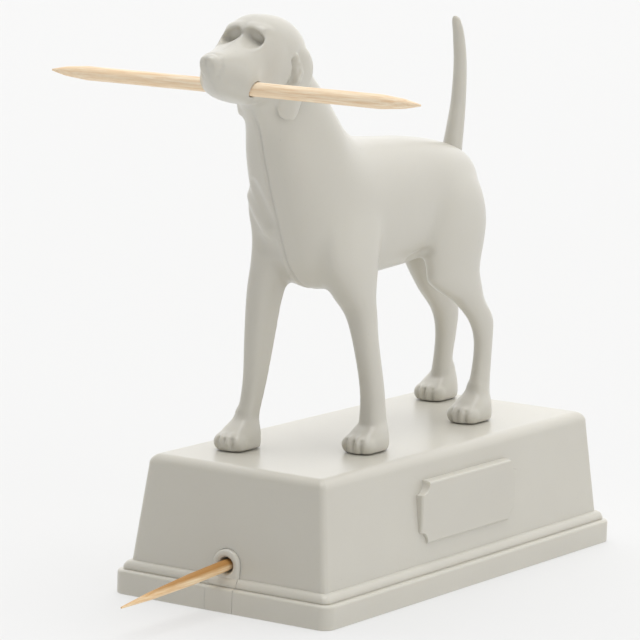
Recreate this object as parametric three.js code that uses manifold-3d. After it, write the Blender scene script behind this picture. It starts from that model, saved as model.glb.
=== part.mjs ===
// A hound-shaped toothpick holder: a hollow dog on a moulded plinth that stores toothpicks and lets
// them out through a nozzle in its front wall. Millimetres, +Z up, the dog looks along -Y, and the
// origin is the middle of the plinth's underside.
import * as THREE from "three";
import { mergeVertices } from "three/addons/utils/BufferGeometryUtils.js";
import Module from "manifold-3d";

// Plinth, which is sized around its hopper and the dog on it
const hopperEndGap = 6.0362;
const hopperSideGap = 1.17;
const hopperTopGap = 2.7215;
const hindScrewGap = 1.8245;
const plinthCorner = 1.9;
const bandHeight = 3.7;
const bandRound = 0.5;
const courseHeight = 1.4;
const courseInset = 0.95;
const courseBulge = 0.45;
const wallInset = 1.87;
const wallCorner = 1;
const sideDraft = 1.86;
const endDraft = 1.45;
const topRound = 1.7;
const topCorner = 0.5;
const wallThickness = 2;
const topThickness = 2.2;
const bandThickness = 2.4;

// Bare plaque on the plinth's side
const plaqueLength = 28;
const plaqueHeight = 9.6;
const plaqueLow = 8;
const plaqueProud = 0.35;
const plaqueNotch = 1.9;

// Bottom cover with its nozzle tab
const coverThickness = 2;
const coverGap = 0.25;
const lipHeight = 2.4;
const lipThickness = 1.2;
const lipGap = 0.25;
const padHeight = 1.4;
const padWall = 1.05;
const gripRadius = 6;
const gripDepth = 1;
const nozzleHeight = 6.8;
const nozzleWall = 1.25;
const tabGap = 0.16;
const tabProud = 0.12;
const tabRoot = 1.15;
const collarProud = 0.4;

// Toothpicks
const toothpickLength = 65;
const servedPickDiameter = 1.8;
const servedPickTaper = 17;
const mouthPickDiameter = 2.2;
const mouthPickTaper = 6.6;
const pickTipRadius = 0.15;
const pickGap = 0.3;
const servedReach = 26;

// Feed ramp
const feedSlope = 4;
const rampSlope = 14;
const rampSideGap = 0.9;
const rampThickness = 1.3;
const rampWallHeight = 2.2;
const rampWallThickness = 1.2;
const rampFrontGap = 0.35;
const rampTailGap = 0.5;
const rampLegWidth = 2.2;
const rampLegInset = 3;
const rampSeatGap = 0.15;
const rampBossWall = 1.25;
const rampFrontScrewShare = 0.38397;
const rampRearScrewShare = 0.83290;
const storedPicksPerSide = 5;

// Screws
const screwDiameter = 2;
const screwHeadDiameter = 3.6;
const screwHeadHeight = 1.3;
const screwDriveDiameter = 1.4;
const screwDriveDepth = 0.8;
const screwGap = 0.15;
const pawScrewLength = 6;
const rampScrewLength = 4.2;

// Dog
const dogLength = 75;
const dogHeight = 50;
const dogWidth = 20;
const dogWall = 1.8;
const soleGap = 0.15;
const partingGap = 0.1;
const pinDiameter = 2;
const pinLength = 1.6;
const pinGap = 0.15;
const pinBossWall = 0.95;
const tailRootLength = 5;
const tailRootGap = 0.2;
const mouthBoreGap = 0.2;

// How round and how smooth each form is, and one overrun that carries every cut past its face
const roundSides = 24;
const pickSides = 10;
const screwSides = 16;
const driveSides = 6;
const dogSides = 20;
const limbSides = 14;
const earSides = 12;
const tailSides = 12;
const toeSides = 8;
const toeRings = 5;
const cornerSteps = 4;
const bandSteps = 3;
const courseSteps = 4;
const topSteps = 4;
const grooveSteps = 6;
const loftSteps = 2;
const trunkSquareness = 2.2;
const headSquareness = 2.3;
const mergeTolerance = 1e-5;
const overrun = 1;

const wasm = await Module();
wasm.setup();

const plastic = { color: 0xb9b6ac, roughness: 0.5, metalness: 0 };
const innerPlastic = { color: 0xa9a69c, roughness: 0.55, metalness: 0 };
const birch = { color: 0xd2a468, roughness: 0.75, metalness: 0 };
const steel = { color: 0x9a9ca0, roughness: 0.3, metalness: 1 };

// A closed geometry as a solid that can be joined and cut.
function solid(geometry, matrix = new THREE.Matrix4()) {
  const bare = geometry.clone();
  bare.deleteAttribute("normal");
  bare.deleteAttribute("uv");
  bare.applyMatrix4(matrix);
  const merged = mergeVertices(bare, mergeTolerance);
  return new wasm.Manifold(
    new wasm.Mesh({
      numProp: 3,
      vertProperties: merged.attributes.position.array,
      triVerts: new Uint32Array(merged.index.array),
    }),
  );
}

function join(solids) {
  return solids.reduce((a, b) => a.add(b));
}

function cut(body, tools) {
  return tools.reduce((a, b) => a.subtract(b), body);
}

// A named mesh of a solid, with its own material.
function piece(name, body, look) {
  const made = body.getMesh();
  const geometry = new THREE.BufferGeometry();
  geometry.setAttribute("position", new THREE.BufferAttribute(made.vertProperties, 3));
  geometry.setIndex(new THREE.BufferAttribute(made.triVerts, 1));
  geometry.computeVertexNormals();
  const mesh = new THREE.Mesh(geometry, new THREE.MeshStandardMaterial(look));
  mesh.name = name;
  return mesh;
}

// Matrices that place a shape: moved, and turned about X first where asked.
function moved(x, y, z) {
  return new THREE.Matrix4().makeTranslation(x, y, z);
}

function turnedX(degrees) {
  return new THREE.Matrix4().makeRotationX(THREE.MathUtils.degToRad(degrees));
}

function box(low, high) {
  const size = high.map((value, i) => value - low[i]);
  const middle = high.map((value, i) => (value + low[i]) / 2);
  return solid(new THREE.BoxGeometry(...size), moved(...middle));
}

// An upright cylinder from one height to another.
function post(x, y, low, high, radius, sides = roundSides) {
  const geometry = new THREE.CylinderGeometry(radius, radius, high - low, sides);
  return solid(geometry, moved(x, y, (low + high) / 2).multiply(turnedX(90)));
}

// A closed skin over rings of points that follow one another, with a fan over each end ring.
function skin(rings) {
  const count = rings[0].length;
  const points = rings.flat();
  const faces = [];
  for (let i = 0; i + 1 < rings.length; i += 1) {
    for (let j = 0; j < count; j += 1) {
      const a = i * count + j;
      const b = i * count + ((j + 1) % count);
      faces.push(a, b, b + count, a, b + count, a + count);
    }
  }
  const ends = [rings[0], rings[rings.length - 1]];
  ends.forEach((ring, end) => {
    const middle = ring.reduce((sum, p) => sum.add(p), new THREE.Vector3()).divideScalar(count);
    const first = end * (rings.length - 1) * count;
    points.push(middle);
    for (let j = 0; j < count; j += 1) {
      const pair = [first + j, first + ((j + 1) % count)];
      faces.push(points.length - 1, ...(end ? pair : pair.reverse()));
    }
  });
  const geometry = new THREE.BufferGeometry().setFromPoints(points);
  geometry.setIndex(faces);
  const made = solid(geometry);
  if (made.volume() > 0) return made;
  geometry.setIndex(faces.reverse());
  return solid(geometry);
}

// The same rings with smooth ones added between them, along a curve through each line of points.
function smoothed(rings, steps) {
  const lines = rings[0].map((_, j) => new THREE.CatmullRomCurve3(rings.map((ring) => ring[j])));
  const total = (rings.length - 1) * steps;
  return Array.from({ length: total + 1 }, (_, i) => lines.map((line) => line.getPoint(i / total)));
}

// A level rounded rectangle.
function slabRing(halfX, halfY, corner, z) {
  const ring = [];
  for (let quarter = 0; quarter < 4; quarter += 1) {
    const sideX = quarter === 0 || quarter === 3 ? 1 : -1;
    const sideY = quarter < 2 ? 1 : -1;
    for (let i = 0; i <= cornerSteps; i += 1) {
      const angle = (quarter + i / cornerSteps) * (Math.PI / 2);
      const x = sideX * (halfX - corner) + corner * Math.cos(angle);
      const y = sideY * (halfY - corner) + corner * Math.sin(angle);
      ring.push(new THREE.Vector3(x, y, z));
    }
  }
  return ring;
}

// Hopper: the ramp that fills it, and so the plinth around it

const feedTan = Math.tan(THREE.MathUtils.degToRad(feedSlope));
const feedCos = Math.cos(THREE.MathUtils.degToRad(feedSlope));
const boreRadius = servedPickDiameter / 2 + pickGap;
const tabDepth = wallThickness + lipGap + lipThickness + tabRoot;
const pickPitch = servedPickDiameter + pickGap;
const rampHalfWidth = storedPicksPerSide * pickPitch + rampSideGap;
const rampLength = pickGap + toothpickLength + rampTailGap + rampWallThickness;
const rampFront = collarProud + tabDepth + rampFrontGap;

// The groove is as wide as the nozzle's bore, and the floor rises from it to both sides.
function rampRise(x) {
  return (x - boreRadius) * Math.tan(THREE.MathUtils.degToRad(rampSlope));
}

// Paw places, shared by the paws, the plinth's holes and the screws: shares of the dog's size.
const pawShares = {
  left_fore: [0.39, -0.205],
  right_fore: [-0.39, -0.372],
  left_hind: [0.31, 0.245],
  right_hind: [-0.43, 0.43],
};
const pawNames = Object.keys(pawShares);
const screwBackShare = 0.02;

// The plinth's height and width: what the ramp and the toothpicks on it need.
const rampRun = (rampFront + rampLength) * feedCos;
const rampTop = nozzleHeight + rampRun * feedTan + (rampRise(rampHalfWidth) + rampWallHeight) * feedCos;
const plinthHeight = rampTop + hopperTopGap + topThickness;
const halfWidth = rampHalfWidth + rampWallThickness + hopperSideGap + wallThickness + wallInset + sideDraft;
const courseTop = bandHeight + courseHeight;
const wallRise = plinthHeight - courseTop;
const cavityTop = plinthHeight - topThickness;

// How far the wall's outer face stands in from the plinth's foot at a height.
function wallSetback(z, draft) {
  return wallInset + (draft * (z - courseTop)) / wallRise;
}

// The plinth's length: what the toothpicks need, or what the dog needs if it is longer, so that the
// rearmost paw's screw stays inside the hollow.
const hopperRoom = 2 * wallInset + wallThickness + endDraft - collarProud + rampRun + hopperEndGap;
const rearScrew = (pawShares.right_hind[1] + screwBackShare) * dogLength + screwHeadDiameter / 2;
const dogRoom = 2 * (rearScrew + hindScrewGap + wallThickness + wallSetback(cavityTop, endDraft));
const halfLength = Math.max(hopperRoom, dogRoom) / 2;

// Plinth shell

function plinthRing(setX, setY, corner, z) {
  return slabRing(halfWidth - setX, halfLength - setY, corner, z);
}

// The shell's outer form: band, rounded course, drafted wall and rounded top edge.
function outerPlinth(shiftY = 0) {
  const rings = [plinthRing(0, 0, plinthCorner, 0)];
  for (let i = 0; i <= bandSteps; i += 1) {
    const angle = (i / bandSteps) * (Math.PI / 2);
    const set = bandRound * (1 - Math.cos(angle));
    const z = bandHeight - bandRound * (1 - Math.sin(angle));
    rings.push(plinthRing(set, set, plinthCorner - set, z));
  }
  for (let i = 0; i <= courseSteps; i += 1) {
    const angle = (i / courseSteps) * Math.PI;
    const out = courseBulge * Math.sin(angle);
    const slide = ((wallInset - courseInset) * i) / courseSteps;
    const set = courseInset + slide - out;
    const z = bandHeight + (courseHeight * (1 - Math.cos(angle))) / 2;
    rings.push(plinthRing(set, set, wallCorner, z));
  }
  const shoulder = plinthHeight - topRound;
  for (let i = 0; i <= topSteps; i += 1) {
    const angle = (i / topSteps) * (Math.PI / 2);
    const set = topRound * (1 - Math.cos(angle));
    const z = shoulder + topRound * Math.sin(angle);
    const corner = THREE.MathUtils.lerp(wallCorner, topCorner, i / topSteps);
    const setX = wallSetback(shoulder, sideDraft) + set;
    const setY = wallSetback(shoulder, endDraft) + set;
    rings.push(plinthRing(setX, setY, corner, z));
  }
  rings.forEach((ring) => ring.forEach((p) => p.setY(p.y + shiftY)));
  return skin(rings);
}

// The hollow inside the shell: a rebate for the cover, then the drafted space above it.
const rebateTop = coverThickness + coverGap;

function innerPlinth() {
  const low = wallThickness + wallSetback(courseTop, sideDraft);
  const lowEnd = wallThickness + wallSetback(courseTop, endDraft);
  const high = wallThickness + wallSetback(cavityTop, sideDraft);
  const highEnd = wallThickness + wallSetback(cavityTop, endDraft);
  const hollow = skin([
    plinthRing(low, lowEnd, wallCorner, -overrun),
    plinthRing(low, lowEnd, wallCorner, courseTop),
    plinthRing(high, highEnd, wallCorner, cavityTop),
  ]);
  const rebate = skin([
    plinthRing(bandThickness, bandThickness, wallCorner, -overrun),
    plinthRing(bandThickness, bandThickness, wallCorner, rebateTop),
  ]);
  return hollow.add(rebate);
}

// The plaque's outline: a rectangle whose corners are scooped out.
function plaqueShape() {
  const halfL = plaqueLength / 2;
  const halfH = plaqueHeight / 2;
  const shape = new THREE.Shape();
  shape.moveTo(-halfL + plaqueNotch, -halfH);
  shape.lineTo(halfL - plaqueNotch, -halfH);
  shape.absarc(halfL, -halfH, plaqueNotch, Math.PI, Math.PI / 2, true);
  shape.lineTo(halfL, halfH - plaqueNotch);
  shape.absarc(halfL, halfH, plaqueNotch, -Math.PI / 2, -Math.PI, true);
  shape.lineTo(-halfL + plaqueNotch, halfH);
  shape.absarc(-halfL, halfH, plaqueNotch, 0, -Math.PI / 2, true);
  shape.lineTo(-halfL, -halfH + plaqueNotch);
  shape.absarc(-halfL, -halfH, plaqueNotch, Math.PI / 2, 0, true);
  return shape;
}

function plaque() {
  const face = halfWidth - wallSetback(plaqueLow, sideDraft) + plaqueProud;
  const geometry = new THREE.ExtrudeGeometry(plaqueShape(), {
    depth: plaqueProud + wallThickness,
    bevelEnabled: false,
    curveSegments: cornerSteps,
  });
  // The outline's own axes become Y and Z, and its depth runs out along X.
  const upright = new THREE.Matrix4().makeBasis(
    new THREE.Vector3(0, 1, 0),
    new THREE.Vector3(0, 0, 1),
    new THREE.Vector3(1, 0, 0),
  );
  const middle = plaqueLow + plaqueHeight / 2;
  return solid(geometry, moved(face - plaqueProud - wallThickness, 0, middle).multiply(upright));
}

// The nozzle tab's arch, grown by a gap where the shell is cut for it, from one depth to another.
function archPrism(grow, front, back, low) {
  const radius = boreRadius + nozzleWall + grow;
  const shape = new THREE.Shape();
  shape.moveTo(-radius, low);
  shape.lineTo(radius, low);
  shape.lineTo(radius, nozzleHeight);
  shape.absarc(0, nozzleHeight, radius, 0, Math.PI, false);
  const geometry = new THREE.ExtrudeGeometry(shape, {
    depth: back - front,
    bevelEnabled: false,
    curveSegments: roundSides / 2,
  });
  return solid(geometry, moved(0, back, 0).multiply(turnedX(90)));
}

function pawPlace(name) {
  const [x, y] = pawShares[name];
  return [x * dogWidth, y * dogLength];
}

function screwPlace(name) {
  const [x, y] = pawPlace(name);
  return [x, y + screwBackShare * dogLength];
}

const frontFace = -(halfLength - wallInset);
const holeRadius = screwDiameter / 2 + screwGap;

function plinthShell() {
  const holes = pawNames.map((name) => {
    const [x, y] = screwPlace(name);
    return post(x, y, cavityTop - overrun, plinthHeight + overrun, holeRadius, screwSides);
  });
  const notch = archPrism(tabGap, -halfLength - overrun, frontFace + tabDepth, -overrun);
  return cut(outerPlinth().add(plaque()), [innerPlinth(), notch, ...holes]);
}

// Feed line: the axis of the served toothpick, which slopes down to the nozzle.

const nozzleFace = frontFace - collarProud;
// Matrix from the feed frame, whose origin is the nozzle's mouth and whose Y runs back up the ramp.
const feedFrame = moved(0, nozzleFace, nozzleHeight).multiply(turnedX(feedSlope));

function feedHeight(y) {
  return nozzleHeight + (y - nozzleFace) * feedTan;
}

// Bottom cover

const rampScrewPlaces = [rampFrontScrewShare, rampRearScrewShare].map(
  (share) => nozzleFace + (rampFront + share * rampLength) * feedCos,
);
const headBoreRadius = screwHeadDiameter / 2 + screwGap;
const recessDepth = screwHeadHeight + 2 * screwGap;

function bottomCover() {
  const side = bandThickness + coverGap;
  const plate = skin([
    plinthRing(side, side, wallCorner, 0),
    plinthRing(side, side, wallCorner, coverThickness),
  ]);
  const lipSide = wallThickness + wallInset + lipGap;
  const lipTop = coverThickness + lipHeight;
  const lip = skin([
    plinthRing(lipSide, lipSide, wallCorner, coverThickness / 2),
    plinthRing(lipSide, lipSide, wallCorner, lipTop),
  ]);
  const inner = lipSide + lipThickness;
  const well = skin([
    plinthRing(inner, inner, wallCorner, coverThickness),
    plinthRing(inner, inner, wallCorner, lipTop + overrun),
  ]);
  const padTop = coverThickness + padHeight;
  const pads = rampScrewPlaces.map((y) => post(0, y, 0, padTop, headBoreRadius + padWall));
  const bores = rampScrewPlaces.flatMap((y) => [
    post(0, y, -overrun, recessDepth, headBoreRadius, screwSides),
    post(0, y, 0, padTop + overrun, holeRadius, screwSides),
  ]);
  const arch = archPrism(0, nozzleFace, frontFace + tabDepth, 0);
  const collar = archPrism(0, nozzleFace, frontFace + tabDepth, courseTop - courseHeight / 2);
  const foot = archPrism(0, -halfLength - overrun, frontFace + tabDepth, 0);
  const tab = join([collar, foot.intersect(outerPlinth(-tabProud)), arch.intersect(outerPlinth())]);
  const boreLength = 2 * (collarProud + tabDepth + overrun);
  const nozzle = new THREE.CylinderGeometry(boreRadius, boreRadius, boreLength, roundSides);
  const grip = post(0, halfLength - side, -overrun, gripDepth, gripRadius);
  const body = cut(plate.add(cut(lip, [well])).add(join(pads)).add(tab), [grip, ...bores]);
  return cut(body, [solid(nozzle, feedFrame)]);
}

// Feed ramp

function rampOutline() {
  const edge = rampHalfWidth;
  const lift = rampRise(edge);
  const under = -boreRadius - rampThickness;
  const shape = new THREE.Shape();
  shape.moveTo(boreRadius, 0);
  shape.absarc(0, 0, boreRadius, 0, -Math.PI, true);
  shape.lineTo(-edge, lift);
  shape.lineTo(-edge, lift + rampWallHeight);
  shape.lineTo(-edge - rampWallThickness, lift + rampWallHeight);
  shape.lineTo(-edge - rampWallThickness, lift - rampThickness);
  shape.lineTo(-edge, lift - rampThickness);
  shape.lineTo(-boreRadius - rampThickness, under + rampThickness / 2);
  shape.lineTo(-boreRadius, under);
  shape.lineTo(boreRadius, under);
  shape.lineTo(boreRadius + rampThickness, under + rampThickness / 2);
  shape.lineTo(edge, lift - rampThickness);
  shape.lineTo(edge + rampWallThickness, lift - rampThickness);
  shape.lineTo(edge + rampWallThickness, lift + rampWallHeight);
  shape.lineTo(edge, lift + rampWallHeight);
  shape.lineTo(edge, lift);
  shape.lineTo(boreRadius, 0);
  return shape;
}

function feedRamp() {
  const geometry = new THREE.ExtrudeGeometry(rampOutline(), {
    depth: rampLength,
    bevelEnabled: false,
    curveSegments: grooveSteps,
  });
  // The outline is drawn across the ramp, and its depth runs back along it.
  const lying = new THREE.Matrix4().makeBasis(
    new THREE.Vector3(-1, 0, 0),
    new THREE.Vector3(0, 0, 1),
    new THREE.Vector3(0, 1, 0),
  );
  const inFeed = feedFrame.clone().multiply(moved(0, rampFront, 0));
  const floor = solid(geometry, inFeed.clone().multiply(lying));
  const outer = rampHalfWidth + rampWallThickness;
  const stopLow = -boreRadius - rampThickness / 2;
  const stopHigh = rampRise(rampHalfWidth) + rampWallHeight;
  const stop = solid(
    new THREE.BoxGeometry(2 * outer, rampWallThickness, stopHigh - stopLow),
    inFeed.clone().multiply(moved(0, rampLength - rampWallThickness / 2, (stopHigh + stopLow) / 2)),
  );
  const seat = coverThickness + rampSeatGap;
  const legX = rampHalfWidth;
  const legPlaces = [rampFront + rampLegInset, rampFront + rampLength - rampLegInset];
  const half = rampLegWidth / 2;
  const legs = legPlaces.flatMap((place) =>
    [-legX, legX].map((x) => {
      const y = nozzleFace + place * feedCos;
      const top = feedHeight(y) + rampRise(rampHalfWidth) - rampThickness / 2;
      return box([x - half, y - half, seat], [x + half, y + half, top]);
    }),
  );
  const bosses = rampScrewPlaces.map((y) =>
    post(0, y, seat + padHeight, feedHeight(y) - boreRadius - rampThickness / 2, holeRadius + rampBossWall),
  );
  const pilots = rampScrewPlaces.map((y) =>
    post(0, y, seat, recessDepth + rampScrewLength + screwGap, holeRadius, screwSides),
  );
  return cut(join([floor, stop, ...legs, ...bosses]), pilots);
}

// A toothpick drawn along Y from one tip to the other.
function toothpick(diameter, taper) {
  const radius = diameter / 2;
  const half = toothpickLength / 2;
  const profile = [
    new THREE.Vector2(0, -half),
    new THREE.Vector2(pickTipRadius, -half),
    new THREE.Vector2((2 * radius) / 3, -half + (2 * taper) / 5),
    new THREE.Vector2(radius, -half + taper),
    new THREE.Vector2(radius, half - taper),
    new THREE.Vector2((2 * radius) / 3, half - (2 * taper) / 5),
    new THREE.Vector2(pickTipRadius, half),
    new THREE.Vector2(0, half),
  ];
  return new THREE.LatheGeometry(profile, pickSides);
}

// A lathe turned so that its axis runs along the feed line, at a place in the feed frame.
function fedPick(x, along, lift) {
  const place = feedFrame.clone().multiply(moved(x, along, lift));
  return solid(toothpick(servedPickDiameter, servedPickTaper), place);
}

// Stored toothpicks lie side by side on the sloping floor, and the first one on the served one too.
function storedPickPlaces() {
  return Array.from({ length: storedPicksPerSide }, (_, i) => {
    const x = pickPitch * (i + 1 / 2);
    const onSlope = rampRise(x) + boreRadius / Math.cos(THREE.MathUtils.degToRad(rampSlope));
    const onServed = Math.sqrt(pickPitch * pickPitch - (pickPitch / 2) * (pickPitch / 2));
    return [x, i ? onSlope : Math.max(onSlope, onServed)];
  });
}

// A screw that points up, from the height of the head's underside.
function screw(x, y, headBottom, length) {
  const headTop = headBottom + screwHeadHeight;
  const head = post(x, y, headBottom, headTop, screwHeadDiameter / 2, screwSides);
  const shank = post(x, y, headTop - overrun / 2, headTop + length, screwDiameter / 2, screwSides);
  const driveTop = headBottom + screwDriveDepth;
  const drive = post(x, y, headBottom - overrun, driveTop, screwDriveDiameter / 2, driveSides);
  return cut(head.add(shank), [drive]);
}

// Dog. Every table below gives shares: x of the width, y of the length, z of the height above the soles.

const soles = plinthHeight + soleGap;

function dogPoint(x, y, z) {
  return new THREE.Vector3(x * dogWidth, y * dogLength, soles + z * dogHeight);
}

// A ring across the dog between a low and a high point of its middle plane, fuller low down if asked.
function girth(row, sides, squareness) {
  const [yLow, zLow, yHigh, zHigh, half, droop = 0] = row;
  return Array.from({ length: sides }, (_, i) => {
    const angle = (2 * Math.PI * (i + 1 / 2)) / sides;
    const across = Math.sign(Math.cos(angle)) * Math.abs(Math.cos(angle)) ** (2 / squareness);
    const up = Math.sign(Math.sin(angle)) * Math.abs(Math.sin(angle)) ** (2 / squareness);
    const t = (1 + up) / 2;
    return dogPoint(
      half * across * (1 - droop * up),
      THREE.MathUtils.lerp(yLow, yHigh, t),
      THREE.MathUtils.lerp(zLow, zHigh, t),
    );
  });
}

function girthLoft(rows, sides, squareness, steps) {
  return skin(smoothed(rows.map((row) => girth(row, sides, squareness)), steps));
}

// A limb: level rings, each [x, y, z, half across, half along].
function limb(rows, sides, steps) {
  const rings = rows.map(([x, y, z, across, along]) =>
    Array.from({ length: sides }, (_, i) => {
      const angle = (2 * Math.PI * i) / sides;
      return dogPoint(x + across * Math.cos(angle), y + along * Math.sin(angle), z);
    }),
  );
  return skin(smoothed(rings, steps));
}

// Rump to the nape: [y, z] of the belly line, [y, z] of the back line, half width.
const trunkShares = [
  [0.29, 0.7, 0.295, 0.77, 0.06],
  [0.285, 0.62, 0.285, 0.83, 0.2],
  [0.24, 0.575, 0.25, 0.872, 0.3],
  [0.15, 0.55, 0.165, 0.905, 0.33],
  [0.055, 0.524, 0.055, 0.924, 0.33],
  [-0.055, 0.513, -0.05, 0.934, 0.35],
  [-0.165, 0.503, -0.135, 0.945, 0.37],
  [-0.28, 0.5, -0.195, 0.966, 0.385],
  [-0.375, 0.56, -0.245, 1.01, 0.365],
  [-0.437, 0.71, -0.288, 1.07, 0.285],
  [-0.468, 0.87, -0.33, 1.14, 0.225],
  [-0.49, 1.0, -0.37, 1.21, 0.205],
  [-0.52, 1.08, -0.4, 1.26, 0.2],
];

// Back of the skull to the nose: [y, z] of the jaw line, [y, z] of the brow line, half width, and
// how much fuller the section is low down than high up.
const headShares = [
  [-0.385, 1.16, -0.375, 1.21, 0.09],
  [-0.415, 1.095, -0.39, 1.28, 0.22],
  [-0.46, 1.08, -0.435, 1.33, 0.27],
  [-0.51, 1.08, -0.492, 1.343, 0.265],
  [-0.55, 1.08, -0.54, 1.308, 0.245, 0.08],
  [-0.575, 1.083, -0.566, 1.273, 0.222, 0.18],
  [-0.608, 1.093, -0.606, 1.256, 0.175, 0.2],
  [-0.643, 1.112, -0.65, 1.252, 0.112, 0.15],
  [-0.668, 1.145, -0.676, 1.243, 0.06],
  [-0.68, 1.185, -0.687, 1.228, 0.03],
];

// Ears: [x, y, z] of the ear's middle, half thickness, half breadth, root to lobe.
const earShares = [
  [0.17, -0.45, 1.275, 0.03, 0.01],
  [0.235, -0.446, 1.25, 0.045, 0.024],
  [0.265, -0.432, 1.2, 0.045, 0.031],
  [0.26, -0.438, 1.145, 0.045, 0.038],
  [0.22, -0.456, 1.1, 0.045, 0.043],
  [0.2, -0.456, 1.062, 0.042, 0.036],
  [0.19, -0.452, 1.04, 0.025, 0.018],
];

// Legs, shoulder or hip to ankle: [x, y, z, half across, half along].
const legShares = {
  left_fore: [
    [0.19, -0.215, 0.84, 0.08, 0.06],
    [0.24, -0.24, 0.73, 0.145, 0.1],
    [0.26, -0.25, 0.6, 0.165, 0.092],
    [0.3, -0.235, 0.48, 0.14, 0.052],
    [0.355, -0.208, 0.34, 0.09, 0.03],
    [0.385, -0.19, 0.2, 0.082, 0.027],
    [0.39, -0.188, 0.1, 0.088, 0.029],
    [0.39, -0.192, 0.04, 0.095, 0.032],
  ],
  right_fore: [
    [-0.17, -0.23, 0.84, 0.08, 0.06],
    [-0.24, -0.27, 0.73, 0.135, 0.1],
    [-0.27, -0.29, 0.6, 0.145, 0.08],
    [-0.315, -0.302, 0.47, 0.11, 0.047],
    [-0.345, -0.315, 0.34, 0.082, 0.033],
    [-0.37, -0.335, 0.2, 0.07, 0.026],
    [-0.38, -0.35, 0.1, 0.078, 0.028],
    [-0.385, -0.356, 0.04, 0.088, 0.032],
  ],
  left_hind: [
    [0.15, 0.17, 0.84, 0.1, 0.06],
    [0.22, 0.17, 0.75, 0.15, 0.105],
    [0.255, 0.17, 0.64, 0.15, 0.118],
    [0.275, 0.178, 0.5, 0.115, 0.087],
    [0.29, 0.218, 0.39, 0.085, 0.058],
    [0.305, 0.27, 0.32, 0.07, 0.036],
    [0.31, 0.281, 0.24, 0.062, 0.022],
    [0.31, 0.275, 0.13, 0.07, 0.026],
    [0.31, 0.265, 0.04, 0.09, 0.034],
  ],
  right_hind: [
    [-0.14, 0.17, 0.84, 0.1, 0.06],
    [-0.2, 0.2, 0.75, 0.14, 0.1],
    [-0.24, 0.235, 0.63, 0.135, 0.095],
    [-0.29, 0.295, 0.5, 0.11, 0.075],
    [-0.34, 0.365, 0.39, 0.085, 0.055],
    [-0.38, 0.423, 0.3, 0.07, 0.038],
    [-0.4, 0.436, 0.22, 0.062, 0.026],
    [-0.415, 0.441, 0.12, 0.07, 0.028],
    [-0.425, 0.441, 0.04, 0.088, 0.034],
  ],
};

// Paws: level rings about the paw's place, [y, z, half across, half along], sole to instep.
const pawRingShares = [
  [0, 0, 0.125, 0.048],
  [0, 0.018, 0.14, 0.053],
  [0.004, 0.045, 0.135, 0.048],
  [0.015, 0.075, 0.105, 0.036],
  [0.022, 0.11, 0.078, 0.026],
];

// Toes about the paw's place: [x, y, half across, half along, height].
const toeShares = [
  [-0.09, -0.028, 0.038, 0.024, 0.06],
  [-0.032, -0.038, 0.038, 0.026, 0.068],
  [0.032, -0.038, 0.038, 0.026, 0.068],
  [0.09, -0.028, 0.038, 0.024, 0.06],
];

// Tail's middle line and half thickness, root to tip: [y, z, half thickness].
const tailShares = [
  [0.258, 0.82, 0.085],
  [0.264, 0.88, 0.078],
  [0.272, 0.94, 0.07],
  [0.28, 1.02, 0.06],
  [0.281, 1.13, 0.053],
  [0.271, 1.22, 0.047],
  [0.259, 1.27, 0.034],
  [0.254, 1.284, 0.014],
];

// [y, z] of the toothpick's bore behind the canines, and of the three locating pins.
const mouthShares = [-0.576, 1.134];
const pinShares = [
  [0.17, 0.79],
  [-0.2, 0.62],
  [-0.33, 0.95],
];

function paw(name) {
  const [px, py] = pawShares[name];
  const body = limb(
    pawRingShares.map(([y, z, across, along]) => [px, py + y, z, across, along]),
    limbSides,
    1,
  );
  // Each toe is a ball of radius one, drawn out to the toe's size.
  const toes = toeShares.map(([x, y, across, along, height]) => {
    const ball = new THREE.SphereGeometry(1, toeSides, toeRings);
    const at = dogPoint(px + x, py + y, height / 2);
    const size = new THREE.Vector3(across * dogWidth, along * dogLength, (height * dogHeight) / 2);
    return solid(ball, new THREE.Matrix4().compose(at, new THREE.Quaternion(), size));
  });
  return join([body, ...toes]);
}

function ear(side) {
  const rings = earShares.map(([x, y, z, thick, broad]) =>
    Array.from({ length: earSides }, (_, i) => {
      const angle = (2 * Math.PI * i) / earSides;
      return dogPoint(side * (x + thick * Math.cos(angle)), y + broad * Math.sin(angle), z);
    }),
  );
  return skin(smoothed(rings, loftSteps));
}

// The tail and its root, grown by a gap where the halves are cut for them.
function tailSolid(grow) {
  const [rootY, rootZ, rootHalf] = tailShares[0];
  const rows = [[rootY, rootZ - tailRootLength / dogHeight, rootHalf], ...tailShares];
  const rings = rows.map(([y, z, half]) =>
    Array.from({ length: tailSides }, (_, i) => {
      const angle = (2 * Math.PI * i) / tailSides;
      const point = dogPoint(0, y, z);
      const radius = half * dogWidth + grow;
      point.x += radius * Math.cos(angle);
      point.y += radius * Math.sin(angle);
      return point;
    }),
  );
  rings[0].forEach((p) => p.setZ(p.z - grow));
  return skin(smoothed(rings, loftSteps));
}

function wholeDog() {
  const legs = pawNames.map((name) => limb(legShares[name], limbSides, loftSteps));
  const paws = pawNames.map(paw);
  const trunk = girthLoft(trunkShares, dogSides, trunkSquareness, loftSteps);
  const head = girthLoft(headShares, dogSides, headSquareness, loftSteps);
  return join([trunk, head, ear(1), ear(-1), ...legs, ...paws]);
}

// The hollow in the trunk: the trunk's own rows but those at its ends, drawn in by the wall.
function trunkHollow() {
  const rows = trunkShares.slice(2, -3).map(([yLow, zLow, yHigh, zHigh, half]) => {
    const low = new THREE.Vector2(yLow * dogLength, zLow * dogHeight);
    const high = new THREE.Vector2(yHigh * dogLength, zHigh * dogHeight);
    const inward = high.clone().sub(low).normalize().multiplyScalar(dogWall);
    low.add(inward);
    high.sub(inward);
    return [
      low.x / dogLength,
      low.y / dogHeight,
      high.x / dogLength,
      high.y / dogHeight,
      half - dogWall / dogWidth,
    ];
  });
  return girthLoft(rows, dogSides, trunkSquareness, 1);
}

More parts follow.
